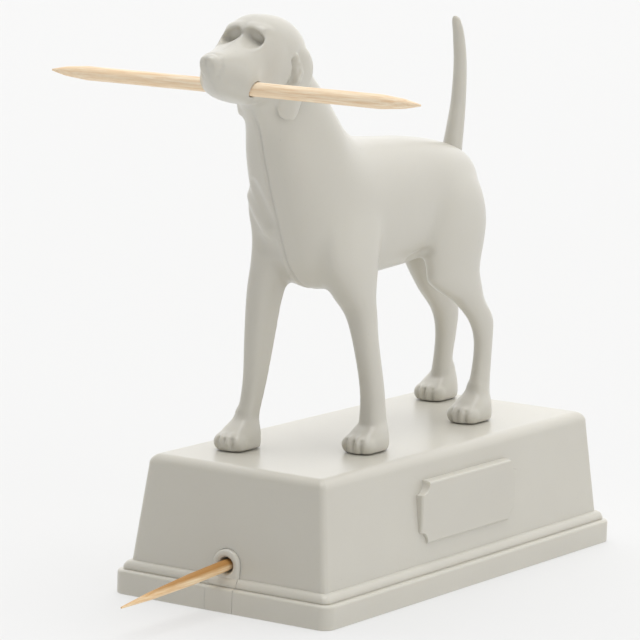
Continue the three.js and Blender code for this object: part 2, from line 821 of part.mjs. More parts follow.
// A cylinder along X through a point of the middle plane.
function crossPin(yShare, zShare, from, to, radius) {
  const at = dogPoint(0, yShare, zShare);
  const turn = new THREE.Matrix4().makeRotationZ(Math.PI / 2);
  const geometry = new THREE.CylinderGeometry(radius, radius, to - from, screwSides);
  return solid(geometry, moved((from + to) / 2, at.y, at.z).multiply(turn));
}

// One half of the dog: the left one carries the locating pins, and the right one their sockets.
function dogHalf(side, dog) {
  const far = 2 * dogLength;
  const start = partingGap / 2;
  const left = box([start, -far, -far], [far, far, far]);
  const right = box([-far, -far, -far], [-start, far, far]);
  const pinBossRadius = pinDiameter / 2 + pinGap + pinBossWall;
  const bosses = pinShares.map(([y, z]) => crossPin(y, z, -dogWidth / 2, dogWidth / 2, pinBossRadius));
  const hollow = cut(trunkHollow(), bosses);
  const pilots = pawNames.map((name) => {
    const [x, y] = screwPlace(name);
    return post(x, y, soles - overrun, cavityTop + pawScrewLength + screwGap, holeRadius, screwSides);
  });
  const bore = crossPin(...mouthShares, -far, far, mouthPickDiameter / 2 + mouthBoreGap);
  const half = cut(dog.intersect(side > 0 ? left : right), [hollow, tailSolid(tailRootGap), bore, ...pilots]);
  const reach = start + pinLength;
  const pinRadius = pinDiameter / 2;
  if (side > 0) {
    return join([half, ...pinShares.map(([y, z]) => crossPin(y, z, -reach, start + overrun, pinRadius))]);
  }
  return cut(half, pinShares.map(([y, z]) => crossPin(y, z, -reach - pinGap, overrun, pinRadius + pinGap)));
}

// Assembly

const holder = new THREE.Group();

holder.add(piece("plinth_shell", plinthShell(), plastic));

const dog = wholeDog();
holder.add(piece("dog_left_half", dogHalf(1, dog), plastic));
holder.add(piece("dog_right_half", dogHalf(-1, dog), plastic));
holder.add(piece("tail", tailSolid(0), plastic));
pawNames.forEach((name) => {
  const [x, y] = screwPlace(name);
  const head = cavityTop - screwGap - screwHeadHeight;
  holder.add(piece(name + "_screw", screw(x, y, head, pawScrewLength), steel));
});

const coverUnit = new THREE.Group();
coverUnit.add(piece("bottom_cover", bottomCover(), plastic));
coverUnit.add(piece("feed_ramp", feedRamp(), innerPlastic));
rampScrewPlaces.forEach((y, i) => {
  const head = recessDepth - screwGap - screwHeadHeight;
  coverUnit.add(piece("ramp_screw_" + (i + 1), screw(0, y, head, rampScrewLength), steel));
});
const storedAlong = rampFront + toothpickLength / 2 + pickGap;
storedPickPlaces().forEach(([x, lift], i) => {
  coverUnit.add(piece("stored_toothpick_left_" + (i + 1), fedPick(x, storedAlong, lift), birch));
  coverUnit.add(piece("stored_toothpick_right_" + (i + 1), fedPick(-x, storedAlong, lift), birch));
});
coverUnit.add(piece("front_toothpick", fedPick(0, toothpickLength / 2 - servedReach, 0), birch));
holder.add(coverUnit);

const mouth = dogPoint(0, ...mouthShares);
const mouthPick = piece("mouth_toothpick", solid(toothpick(mouthPickDiameter, mouthPickTaper)), birch);
mouthPick.rotation.z = Math.PI / 2;
mouthPick.position.copy(mouth);
holder.add(mouthPick);

export default holder;
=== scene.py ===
import math

import bmesh
import bpy
import numpy as np
from mathutils import Matrix, Vector


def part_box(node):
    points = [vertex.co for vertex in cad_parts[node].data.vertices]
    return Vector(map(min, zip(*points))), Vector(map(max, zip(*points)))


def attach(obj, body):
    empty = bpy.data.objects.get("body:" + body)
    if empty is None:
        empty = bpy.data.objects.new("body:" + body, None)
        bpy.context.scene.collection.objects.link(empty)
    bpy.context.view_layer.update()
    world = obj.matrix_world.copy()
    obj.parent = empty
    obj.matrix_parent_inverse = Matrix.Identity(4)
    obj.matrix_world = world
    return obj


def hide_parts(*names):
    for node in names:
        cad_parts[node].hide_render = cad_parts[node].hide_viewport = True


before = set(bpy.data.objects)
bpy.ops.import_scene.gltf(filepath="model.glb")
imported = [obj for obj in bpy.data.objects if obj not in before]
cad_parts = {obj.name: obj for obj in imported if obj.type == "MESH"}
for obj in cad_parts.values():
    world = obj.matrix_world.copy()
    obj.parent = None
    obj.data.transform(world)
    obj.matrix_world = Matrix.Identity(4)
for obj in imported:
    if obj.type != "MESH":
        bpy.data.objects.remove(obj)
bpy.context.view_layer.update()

# Plinth shell
# One injection moulding of warm grey ABS, open below and about 2 mm thick. A foot band, a rounded course
# and drafted walls rise to a rounded top edge, and a bare plaque is moulded on the dog's left side.

# MM turns the file's millimetres into metres. Points closer than SAME_PLACE are one, and a form that cuts
# reaches PAST what it cuts.
MM, SAME_PLACE, PAST = 0.001, 1e-7, 1
HALF_LENGTH, HALF_WIDTH, PLINTH_HEIGHT = 42.5, 19.5, 21.5
PLINTH_CORNER, WALL_CORNER, TOP_CORNER = 1.9, 1.0, 0.5
BAND_HEIGHT, BAND_ROUND, FOOT_EDGE = 3.7, 0.5, 0.12
COURSE_HEIGHT, COURSE_INSET, COURSE_BULGE = 1.4, 0.95, 0.45
COURSE_TOP = BAND_HEIGHT + COURSE_HEIGHT
WALL_INSET, SIDE_DRAFT, END_DRAFT, TOP_ROUND = 1.87, 1.86, 1.45, 1.7
WALL, TOP_WALL, BAND_WALL, REBATE_TOP = 2.0, 2.2, 2.4, 2.25
CAVITY_TOP = PLINTH_HEIGHT - TOP_WALL
PLAQUE_HALF_LENGTH, PLAQUE_LOW, PLAQUE_HEIGHT, PLAQUE_NOTCH, PLAQUE_PROUD = 14.0, 8.0, 9.6, 1.9, 0.35
# How far back from the plaque's face each of its rings lies, and how much wider than the face's field it is.
PLAQUE_STEPS = ((2.4, 0.15), (0.35, 0.04), (0.22, 0.0), (0.1, -0.1), (0.03, -0.2), (0.0, -0.35))
NOZZLE_HEIGHT, NOZZLE_RADIUS, NOZZLE_PROUD, BORE_RADIUS = 6.8, 2.45, 0.4, 1.2
TAB_GAP, TAB_LENGTH = 0.05, 4.6
FRONT_FACE = -(HALF_LENGTH - WALL_INSET)
NOZZLE_FACE, TAB_BACK = FRONT_FACE - NOZZLE_PROUD, FRONT_FACE + TAB_LENGTH
PAWS = {"left_fore": (7.8, -15.37), "right_fore": (-7.8, -27.9),
        "left_hind": (6.2, 18.38), "right_hind": (-8.6, 32.25)}
SCREW_BACK, SCREW_HOLE_RADIUS = 1.5, 1.15


def linear(colour):
    """A colour written as sRGB hex, as the linear values that a shader wants."""
    parts = [int(colour[i : i + 2], 16) / 255 for i in (1, 3, 5)]
    return [p / 12.92 if p <= 0.04045 else ((p + 0.055) / 1.055) ** 2.4 for p in parts] + [1.0]


def add(tree, kind, inputs=None, **settings):
    """Adds a node. An input is a value, a socket to link from, or a node, which means its first output."""
    made = tree.nodes.new(kind)
    for name, value in settings.items():
        setattr(made, name, value)
    for name, value in (inputs or {}).items():
        if isinstance(value, bpy.types.Node):
            value = next(socket for socket in value.outputs if socket.enabled)
        if isinstance(value, bpy.types.NodeSocket):
            tree.links.new(value, made.inputs[name])
        else:
            made.inputs[name].default_value = value
    return made


def new_material(name):
    """An empty procedural material, and its tree."""
    material = bpy.data.materials.new(name)
    material.use_nodes = True
    material.node_tree.nodes.clear()
    return material, material.node_tree


def moulded_abs(name, dark, light, roughness, grain_height):
    """ABS from a spark-eroded mould: a soft, even tone, and a satin edge broken by a very fine grain."""
    material, tree = new_material(name)
    place = add(tree, "ShaderNodeTexCoord").outputs["Object"]
    # Slow flow marks, one to three centimetres long, shift the tone by a shade.
    flow = add(tree, "ShaderNodeTexNoise", {"Vector": place, "Scale": 60.0, "Detail": 3.0, "Roughness": 0.5})
    # Real spark grain is 0.05 mm; it is drawn at 0.3 mm so that it shows at all.
    grain = add(tree, "ShaderNodeTexNoise", {
        "Vector": place, "Scale": 3300.0, "Detail": 3.0, "Roughness": 0.6,
    })
    shade = add(tree, "ShaderNodeMath", {0: flow, 1: 0.75}, operation="MULTIPLY")
    mixed = add(tree, "ShaderNodeMath", {0: grain, 1: 0.25, 2: shade}, operation="MULTIPLY_ADD")
    tone = add(tree, "ShaderNodeMix", {
        "Factor": mixed, "A": linear(dark), "B": linear(light),
    }, data_type="RGBA")
    bump = add(tree, "ShaderNodeBump", {"Height": grain, "Strength": 0.5, "Distance": grain_height * MM})
    rough = add(tree, "ShaderNodeMapRange", {
        "Value": grain, "To Min": roughness - 0.06, "To Max": roughness + 0.06,
    })
    shader = add(tree, "ShaderNodeBsdfPrincipled", {
        "Base Color": tone, "Roughness": rough, "IOR": 1.54, "Subsurface Weight": 0.2,
        "Subsurface Radius": (1.0, 0.9, 0.7), "Subsurface Scale": 1.5 * MM, "Normal": bump,
    })
    add(tree, "ShaderNodeOutputMaterial", {"Surface": shader})
    return material


grey_abs = moulded_abs("moulded ABS, warm grey", "#c4c0b6", "#cdcabf", 0.3, 0.02)


def skin(rings):
    """A closed form over rings of points that follow one another, in millimetres: its points and faces."""
    rings = np.asarray(rings, float)
    count, sides = rings.shape[:2]
    faces = [(a + j, a + (j + 1) % sides, a + sides + (j + 1) % sides, a + sides + j)
             for a in range(0, (count - 1) * sides, sides) for j in range(sides)]
    faces += [tuple(range(sides))[::-1], tuple((count - 1) * sides + j for j in range(sides))]
    return rings.reshape(-1, 3), faces


def to_mesh(name, *forms):
    """One mesh of several closed forms that don't touch one another."""
    made = bpy.data.meshes.new(name)
    points = np.vstack([p for p, _ in forms])
    starts = np.cumsum([0] + [len(p) for p, _ in forms])
    faces = [tuple(int(start + v) for v in face)
             for start, (_, group) in zip(starts, forms) for face in group]
    made.from_pydata((points * MM).tolist(), [], faces)
    work = bmesh.new()
    work.from_mesh(made)
    bmesh.ops.recalc_face_normals(work, faces=work.faces)
    work.to_mesh(made)
    work.free()
    return made


def in_scene(name, data):
    """An object around a mesh, a light or a camera."""
    made = bpy.data.objects.new(name, data)
    bpy.context.scene.collection.objects.link(made)
    return made


def result_of(thing):
    """The mesh that an object's modifiers make. The object itself is taken away."""
    made = bpy.data.meshes.new_from_object(thing.evaluated_get(bpy.context.evaluated_depsgraph_get()))
    bpy.data.objects.remove(thing)
    return made


def smoothed(mesh, angle):
    """A mesh that shades smoothly except over edges sharper than an angle in degrees."""
    mesh.shade_smooth()
    mesh.set_sharp_from_angle(angle=math.radians(angle))
    return mesh


def shaped(mesh, steps, bevel=0.0, bevel_angle=40, smooth_angle=30):
    """A mesh joined with, cut by or kept within the forms of each step in turn, and its edges rounded."""
    base = in_scene("base", mesh)
    tools = [in_scene("tool", to_mesh("tool", *forms)) for _, *forms in steps]
    for (operation, *_), tool in zip(steps, tools):
        modifier = base.modifiers.new(operation, "BOOLEAN")
        modifier.operation, modifier.object, modifier.solver = operation, tool, "EXACT"
    if bevel:
        rounding = base.modifiers.new("rounding", "BEVEL")
        rounding.width, rounding.segments = bevel * MM, 2
        rounding.limit_method, rounding.angle_limit = "ANGLE", math.radians(bevel_angle)
    made = result_of(base)
    for tool in tools:
        bpy.data.objects.remove(tool)
    work = bmesh.new()
    work.from_mesh(made)
    bmesh.ops.remove_doubles(work, verts=work.verts, dist=SAME_PLACE)
    bmesh.ops.dissolve_degenerate(work, edges=work.edges, dist=SAME_PLACE)
    work.to_mesh(made)
    work.free()
    smoothed(made, smooth_angle)
    if not bevel:
        return made
    # Broad flat faces keep their own direction, so that a rounded edge doesn't shade them.
    carrier = in_scene("shading", made)
    weighted = carrier.modifiers.new("flat faces first", "WEIGHTED_NORMAL")
    weighted.weight, weighted.keep_sharp = 100, True
    return result_of(carrier)


def new_piece(name, mesh, material, body, slot, *nodes):
    """A finished piece: its mesh, its material, the body it rides on and the CAD nodes it stands for."""
    piece = in_scene(name, mesh)
    piece.data.materials.clear()
    piece.data.materials.append(material)
    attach(piece, body)
    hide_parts(*nodes)


def slab_ring(set_x, set_y, corner, z, shift=0.0):
    """A level rounded rectangle, set in from the plinth's foot."""
    ring = []
    steps = 10
    for quarter, (sx, sy) in enumerate([(1, 1), (-1, 1), (-1, -1), (1, -1)]):
        for i in range(steps + 1):
            angle = (quarter + i / steps) * math.pi / 2
            ring.append((sx * (HALF_WIDTH - set_x - corner) + corner * math.cos(angle),
                         sy * (HALF_LENGTH - set_y - corner) + corner * math.sin(angle) + shift, z))
    return ring


def slab(inset, corner, *levels):
    """A rounded slab that is set in equally all round."""
    return skin([slab_ring(inset, inset, corner, z) for z in levels])


def setback(z, draft):
    """How far the wall's outer face stands in from the foot at a height."""
    return WALL_INSET + draft * (z - COURSE_TOP) / (PLINTH_HEIGHT - COURSE_TOP)


def outer_plinth(shift=0.0):
    """Foot band, rounded course, drafted wall and rounded top edge."""
    rings = [(FOOT_EDGE, FOOT_EDGE, PLINTH_CORNER - FOOT_EDGE, 0), (0, 0, PLINTH_CORNER, FOOT_EDGE)]
    for i in range(7):
        angle = i / 6 * math.pi / 2
        inset = BAND_ROUND * (1 - math.cos(angle))
        rings.append((inset, inset, PLINTH_CORNER - inset, BAND_HEIGHT - BAND_ROUND * (1 - math.sin(angle))))
    for i in range(13):
        angle = i / 12 * math.pi
        inset = COURSE_INSET + (WALL_INSET - COURSE_INSET) * i / 12 - COURSE_BULGE * math.sin(angle)
        rings.append((inset, inset, WALL_CORNER, BAND_HEIGHT + COURSE_HEIGHT * (1 - math.cos(angle)) / 2))
    shoulder = PLINTH_HEIGHT - TOP_ROUND
    for i in range(11):
        angle = i / 10 * math.pi / 2
        inset = TOP_ROUND * (1 - math.cos(angle))
        rings.append((setback(shoulder, SIDE_DRAFT) + inset, setback(shoulder, END_DRAFT) + inset,
                      WALL_CORNER + (TOP_CORNER - WALL_CORNER) * i / 10,
                      shoulder + TOP_ROUND * math.sin(angle)))
    return skin([slab_ring(*ring, shift) for ring in rings])


def prism(outline, low, high, axis):
    """An outline in two axes drawn out along the third: points run the long way round."""
    a, b = {"x": (1, 2), "y": (0, 2), "z": (0, 1)}[axis]
    rings = np.zeros((2, len(outline), 3))
    for ring, along in zip(rings, (low, high)):
        ring[:, a], ring[:, b] = np.asarray(outline).T
        ring[:, "xyz".index(axis)] = along
    return skin(rings)


def circle(middle, radius, sides):
    """A circle's points in two axes."""
    return [(middle[0] + radius * math.cos(2 * math.pi * i / sides),
             middle[1] + radius * math.sin(2 * math.pi * i / sides)) for i in range(sides)]


def rod(middle, radius, low, high, axis="z", sides=32):
    """A round bar along an axis."""
    return prism(circle(middle, radius, sides), low, high, axis)


def arch(radius, low):
    """The nozzle tab's outline: straight sides under a half round."""
    top = [(radius * math.cos(a), NOZZLE_HEIGHT + radius * math.sin(a)) for a in np.linspace(0, math.pi, 33)]
    return [(-radius, low), (radius, low)] + top


def plaque_outline(grow):
    """A rectangle whose corners are scooped out, seen from the side."""
    half, rise = PLAQUE_HALF_LENGTH + grow, PLAQUE_HEIGHT / 2 + grow
    middle, notch = PLAQUE_LOW + PLAQUE_HEIGHT / 2, PLAQUE_NOTCH + grow
    made = []
    for sy, sz, start in ((1, -1, math.pi), (1, 1, -math.pi / 2), (-1, 1, 0), (-1, -1, math.pi / 2)):
        for i in range(9):
            angle = start - i / 8 * math.pi / 2
            made.append((sy * half + notch * math.cos(angle), middle + sz * rise + notch * math.sin(angle)))
    return made


plaque_face = HALF_WIDTH - setback(PLAQUE_LOW, SIDE_DRAFT) + PLAQUE_PROUD
plaque = [[(plaque_face - back, y, z) for y, z in plaque_outline(grow)] for back, grow in PLAQUE_STEPS]
hollow = [slab_ring(*[WALL + setback(max(z, COURSE_TOP), draft) for draft in (SIDE_DRAFT, END_DRAFT)],
                    WALL_CORNER, z) for z in (-PAST, COURSE_TOP, CAVITY_TOP)]
# The plaque is joined on; the hollow, the cover's rebate, the tab's notch and the screws' holes are cut out.
shell = shaped(to_mesh("plinth", outer_plinth()), [
    ("UNION", skin(plaque)),
    ("DIFFERENCE", skin(hollow)),
    ("DIFFERENCE", slab(BAND_WALL, WALL_CORNER, -PAST, REBATE_TOP)),
    ("DIFFERENCE", prism(arch(NOZZLE_RADIUS + TAB_GAP, -PAST), -HALF_LENGTH - PAST, TAB_BACK, "y")),
    ("DIFFERENCE", *[rod((x, y + SCREW_BACK), SCREW_HOLE_RADIUS, CAVITY_TOP - PAST, PLINTH_HEIGHT + PAST)
                     for x, y in PAWS.values()]),
], bevel=0.12, bevel_angle=50, smooth_angle=25)
new_piece("plinth_moulding", shell, grey_abs, "plinth", "grey_plastic", "plinth_shell")

# Dog's body
# Two hollow ABS mouldings, left and right, glued on the dog's middle plane over three pins. The skin is
# smooth and satin; eyes, lips, ears, muscles, toes and the seam down the chest are cut in the mould.
SOLES, VOXEL = 21.65, 0.23
MOUTH_Y, MOUTH_Z, MOUTH_BORE_RADIUS = -43.2, 56.7, 1.22
# Each half ends this far from the middle plane.
GLUE_LINE = 0.008


def curved(rows, steps):
    """Rows of numbers with smooth ones between them, on a curve through each column."""
    rows = np.asarray(rows, float)
    ends = np.vstack([2 * rows[:1] - rows[1:2], rows, 2 * rows[-1:] - rows[-2:-1]])
    made = []
    for i in range(len(rows) - 1):
        a, b, c, d = ends[i : i + 4]
        for t in np.arange(steps) / steps:
            made.append(0.5 * (2 * b + (c - a) * t + (2 * a - 5 * b + 4 * c - d) * t**2
                               + (3 * b - a - 3 * c + d) * t**3))
    return np.array(made + [rows[-1]])


def smoothstep(x, low, high):
    """0 below low and 1 above high, with a soft start and end between them."""
    t = np.clip((x - low) / (high - low), 0, 1)
    return t * t * (3 - 2 * t)


def girths(rows, sides=64, steps=8):
    """Trunk and head: rings across the dog, each from a point of its underline up to one of its topline."""
    angle = 2 * np.pi * (np.arange(sides) + 0.5) / sides
    rings = []
    for y_low, z_low, y_high, z_high, half, droop, squareness in curved(rows, steps):
        across = np.sign(np.cos(angle)) * np.abs(np.cos(angle)) ** (2 / squareness)
        up = np.sign(np.sin(angle)) * np.abs(np.sin(angle)) ** (2 / squareness)
        t = (1 + up) / 2
        rings.append(np.c_[half * across * (1 - droop * up), y_low + (y_high - y_low) * t,
                           z_low + (z_high - z_low) * t])
    return skin(rings)


def level_rings(rows, sides=40, steps=8, exponent=2.0):
    """Ears, legs and paws: level rings, each with its middle and its half sizes across and along the dog."""
    angle = 2 * np.pi * (np.arange(sides) + 0.5) / sides
    across = np.sign(np.cos(angle)) * np.abs(np.cos(angle)) ** (2 / exponent)
    behind = np.sign(np.sin(angle)) * np.abs(np.sin(angle)) ** (2 / exponent)
    return skin([np.c_[x + a * across, y + b * behind, np.full(sides, z)]
                 for x, y, z, a, b in curved(rows, steps)])


def ball(centre, radii, sides=28):
    """A toe: a ball drawn out along its own axes."""
    theta = np.pi * (np.arange(sides // 2 - 1) + 1) / (sides // 2)
    phi = 2 * np.pi * np.arange(sides) / sides
    points, faces = skin([np.c_[np.sin(t) * np.cos(phi), np.sin(t) * np.sin(phi), np.full(sides, np.cos(t))]
                          for t in theta])
    return points * radii + centre, faces


# Rump to nape: [y, z] of the underline, [y, z] of the topline, half width, narrowing upwards, squareness.
TRUNK = [
    [21.5, 35.0, 21.7, 38.5, 1.2, 0.0, 2.3],
    [21.0, 31.0, 20.9, 41.5, 3.9, 0.0, 2.3],
    [18.0, 28.7, 18.6, 43.5, 5.8, 0.0, 2.3],
    [11.2, 27.5, 12.4, 45.1, 6.5, 0.0, 2.3],
    [4.1, 26.2, 4.1, 46.2, 6.6, 0.0, 2.3],
    [-4.1, 25.7, -3.8, 46.7, 7.0, 0.0, 2.3],
    [-12.4, 25.1, -10.1, 47.2, 7.4, 0.0, 2.3],
    [-20.2, 24.6, -14.6, 48.3, 7.7, 0.0, 2.3],
    [-26.1, 27.8, -18.4, 50.5, 7.4, 0.0, 2.4],
    [-30.3, 35.8, -21.6, 53.5, 6.7, 0.0, 2.6],
    [-33.5, 43.5, -24.8, 57.0, 5.5, 0.0, 2.9],
    [-35.9, 50.0, -27.8, 60.5, 4.1, 0.0, 2.6],
    [-38.6, 54.0, -30.0, 63.0, 3.8, 0.0, 2.3],
]
# Back of the skull to the nose, in the same way.
HEAD = [
    [-28.9, 58.0, -28.1, 60.5, 1.8, 0.0, 2.5],
    [-31.1, 54.8, -29.2, 64.0, 4.4, 0.0, 2.5],
    [-34.5, 54.0, -32.6, 66.4, 5.3, 0.0, 2.6],
    [-38.2, 54.0, -36.9, 67.0, 5.1, 0.0, 2.7],
    [-40.8, 54.0, -40.3, 65.5, 4.7, 0.02, 2.7],
    [-42.9, 54.4, -42.4, 63.4, 4.7, 0.1, 2.6],
    [-44.7, 55.0, -44.7, 62.5, 4.1, 0.11, 2.7],
    [-46.3, 55.8, -46.9, 62.1, 3.0, 0.06, 2.7],
    [-47.7, 57.1, -48.6, 61.9, 2.1, 0.0, 2.7],
    [-48.9, 58.6, -49.6, 61.55, 1.5, 0.0, 2.7],
    [-49.1, 59.0, -49.8, 61.35, 1.2, 0.0, 2.6],
]
# The left ear, root to lobe: [x, y, z], half across, half along.
EAR = [
    [4.2, -32.5, 62.9, 0.45, 0.9],
    [4.95, -31.9, 61.5, 0.6, 1.5],
    [5.3, -31.6, 59.6, 0.65, 1.8],
    [5.45, -32.0, 58.2, 0.62, 1.9],
    [5.4, -32.6, 57.3, 0.62, 2.4],
    [5.3, -33.5, 56.0, 0.64, 2.6],
    [5.1, -34.2, 54.8, 0.66, 2.25],
    [4.95, -34.5, 53.6, 0.66, 2.05],
    [4.85, -34.55, 52.7, 0.64, 1.75],
    [4.8, -34.6, 52.0, 0.56, 1.25],
    [4.75, -34.6, 51.6, 0.4, 0.7],
]
# The legs, shoulder or hip to paw, in the same way.
LEGS = {
    "left_fore": [
        [3.8, -16.1, 42.0, 1.6, 4.5],
        [4.8, -18.0, 36.5, 2.9, 7.5],
        [5.2, -18.8, 30.0, 3.3, 6.9],
        [6.0, -17.4, 24.0, 2.8, 3.8],
        [6.55, -16.1, 21.0, 2.2, 2.6],
        [7.1, -15.4, 17.0, 1.8, 2.1],
        [7.7, -14.1, 10.0, 1.64, 2.0],
        [7.8, -13.6, 5.0, 1.76, 2.18],
        [7.8, -13.9, 2.0, 1.9, 2.4],
    ],
    "right_fore": [
        [-3.4, -20.5, 45.0, 1.6, 5.0],
        [-4.7, -22.1, 41.0, 2.35, 7.1],
        [-5.2, -22.0, 37.0, 2.4, 7.0],
        [-5.2, -21.5, 33.0, 2.4, 6.3],
        [-5.5, -21.8, 29.0, 2.45, 5.4],
        [-6.2, -23.4, 24.0, 2.3, 3.5],
        [-6.9, -23.6, 17.0, 1.85, 2.95],
        [-7.4, -23.9, 10.0, 1.55, 2.2],
        [-7.6, -25.1, 5.0, 1.5, 1.95],
        [-7.7, -25.9, 2.0, 1.76, 2.4],
    ],
    "left_hind": [
        [3.0, 12.8, 42.0, 2.0, 4.5],
        [4.3, 12.6, 37.5, 2.8, 7.6],
        [5.0, 12.6, 32.0, 2.85, 8.6],
        [5.4, 12.5, 25.2, 2.3, 6.95],
        [5.5, 12.7, 23.4, 2.15, 6.95],
        [5.7, 14.85, 21.2, 1.85, 5.4],
        [5.8, 16.98, 19.5, 1.7, 3.8],
        [6.1, 20.45, 16.0, 1.4, 2.95],
        [6.2, 21.3, 12.0, 1.3, 1.85],
        [6.2, 20.75, 6.5, 1.4, 2.0],
        [6.2, 19.9, 2.0, 1.8, 2.55],
    ],
    "right_hind": [
        [-2.8, 12.8, 42.0, 2.0, 4.5],
        [-4.0, 15.0, 37.5, 2.8, 7.5],
        [-4.8, 17.6, 31.5, 2.7, 7.12],
        [-5.8, 22.1, 25.0, 2.2, 5.62],
        [-6.8, 27.05, 19.5, 1.75, 4.5],
        [-7.6, 31.9, 15.0, 1.5, 3.4],
        [-8.0, 33.15, 11.0, 1.35, 2.45],
        [-8.3, 32.95, 6.0, 1.4, 2.0],
        [-8.5, 33.1, 2.0, 1.76, 2.55],
    ],
}
# A paw about its own place, sole to instep: [y, z], half across, half along.
PAW = [[-0.2, 0.0, 2.5, 3.95], [-0.25, 0.8, 2.7, 4.15], [-0.1, 1.9, 2.65, 3.95], [0.7, 3.1, 2.35, 3.0],
       [1.6, 4.4, 1.8, 2.0], [1.75, 6.0, 1.45, 1.6]]
# The fore paws lie a little further back on their screws than the hind ones.
FORE_BACK = {"left_fore": 0.4, "right_fore": 0.9}
PLACES = [(x, y + FORE_BACK.get(name, 0.0)) for name, (x, y) in PAWS.items()]
# Toes about the paw's place: [x, y], half across, half along, height.
TOES = [[-1.85, -2.3, 0.9, 1.7, 2.5], [-0.63, -2.75, 0.9, 1.8, 2.8], [0.63, -2.75, 0.9, 1.8, 2.8],
        [1.85, -2.3, 0.9, 1.7, 2.5]]


def ear(side):
    """An ear: level rings, and a lobe whose front wraps in round the throat. The right one lies closer in."""
    points, faces = level_rings(EAR)
    wrap = np.clip(-34.3 - points[:, 1], 0, None) ** 1.25 * 0.5 * smoothstep(-points[:, 2], -58.5, -55)
    closer = (0.75 if side < 0 else 0.0) * smoothstep(-points[:, 2], -57.5, -53.5)
    points[:, 0] = side * (points[:, 0] - wrap - closer)
    return points, faces


forms = [girths(TRUNK), girths(HEAD), ear(1), ear(-1)]
forms += [level_rings(rows, exponent=2.9 if "fore" in name else 2.3) for name, rows in LEGS.items()]
for px, py in PLACES:
    forms.append(level_rings([[px, py + y, z, a, b] for y, z, a, b in PAW], exponent=2.8))
    forms += [ball((px + x, py + y, h / 2 - 0.1), (a, b, h / 2 + 0.1)) for x, y, a, b, h in TOES]
whole = in_scene("dog", to_mesh("dog", *forms))
remesh = whole.modifiers.new("one skin", "REMESH")
remesh.mode, remesh.voxel_size = "VOXEL", VOXEL * MM
body = result_of(whole)

# From here on p holds every point of the dog's skin, in millimetres above the soles.
count = len(body.vertices)
p = np.empty(count * 3)
body.vertices.foreach_get("co", p)
p = p.reshape(-1, 3) / MM
ends = np.empty(len(body.edges) * 2, int)
body.edges.foreach_get("vertices", ends)
ends_a, ends_b = ends.reshape(-1, 2).T
valence = np.bincount(ends_a, minlength=count) + np.bincount(ends_b, minlength=count)
quads = np.empty(len(body.loops), int)
body.loops.foreach_get("vertex_index", quads)
quads = quads.reshape(-1, 4)


def outward():
    """The skin's outward direction at each point."""
    a, b, c, d = (p[quads[:, k]] for k in range(4))
    face = np.cross(c - a, d - b)
    total = np.stack([np.bincount(quads.ravel(), np.repeat(face[:, k], 4), count) for k in range(3)], 1)
    return total / np.linalg.norm(total, axis=1, keepdims=True)


def relaxed(weight, passes, fill=False):
    """The skin smoothed. With fill, hollows between forms fill up and what stands out keeps its place."""
    q = p.copy()
    for i in range(passes):
        mean = np.stack([np.bincount(ends_a, q[ends_b, k], count) + np.bincount(ends_b, q[ends_a, k], count)
                         for k in range(3)], 1)
        step = mean / valence[:, None] - q
        if fill:
            if i % 5 == 0:
                n = outward()
            step -= n * np.minimum((step * n).sum(1), 0)[:, None] * 0.9
        q += step * (weight[:, None] if np.ndim(weight) else weight)
    return q


def folded(both):
    """The points, with the dog's right side folded on to its left one where both are meant."""
    return np.abs(p) * (1, 0, 0) + p * (0, 1, 1) if both else p


def near(centre, radii, both=True):
    """1 at a place, falling smoothly to 0 at its radii, on both sides of the dog or on one."""
    return np.clip(1 - (((folded(both) - centre) / radii) ** 2).sum(1), 0, 1) ** 2


def along(path, width, both=True, scale=(1, 1, 1)):
    """1 on a line of points, falling smoothly to 0 at a width to each side. An axis's scale shortens it."""
    q = folded(both) * scale
    path = np.asarray(path, float) * scale
    low, high = path.min(0) - width, path.max(0) + width
    inside = np.flatnonzero(((q > low) & (q < high)).all(1))
    nearest = np.full(len(inside), np.inf)
    for a, b in zip(path[:-1], path[1:]):
        t = np.clip(((q[inside] - a) @ (b - a)) / ((b - a) @ (b - a)), 0, 1)
        nearest = np.minimum(nearest, ((q[inside] - a - t[:, None] * (b - a)) ** 2).sum(1))
    made = np.zeros(count)
    made[inside] = np.clip(1 - nearest / width**2, 0, 1) ** 2
    return made


# Where limbs and neck run into the trunk the hollow between them fills up, as in a clay model.
p = relaxed(0.6, 3)
junction = np.zeros(count)
for place, size in [((5, -20, 37), (7, 16, 16)), ((5.5, -20, 27), (6, 11, 10)), ((4.5, 14, 38), (6, 14, 13)),
                    ((5, 13, 30), (5, 12, 8)), ((0, -22, 27), (5, 9, 6)), ((0, 14, 27), (3, 9, 5)),
                    ((0, -33, 56), (7, 9, 8))]:
    junction = np.maximum(junction, near(place, size))
junction *= 1 - np.clip(3 * near((5.0, -34.6, 53.2), (2.4, 4.5, 3.6)), 0, 1)      # the lobes hang free
p = relaxed(0.6 * np.clip(junction * 2.5, 0, 1), 110, fill=True)
paw_zone = np.zeros(count)
for px, py in PLACES:
    paw_zone = np.maximum(paw_zone, near((px, py, 2.0), (5, 6, 5), both=False))
ear_zone = near((5.2, -34, 56.5), (3.5, 7, 8))
p = relaxed(0.6 * (1 - np.clip(4 * np.maximum(paw_zone, ear_zone), 0, 0.75)), 12)

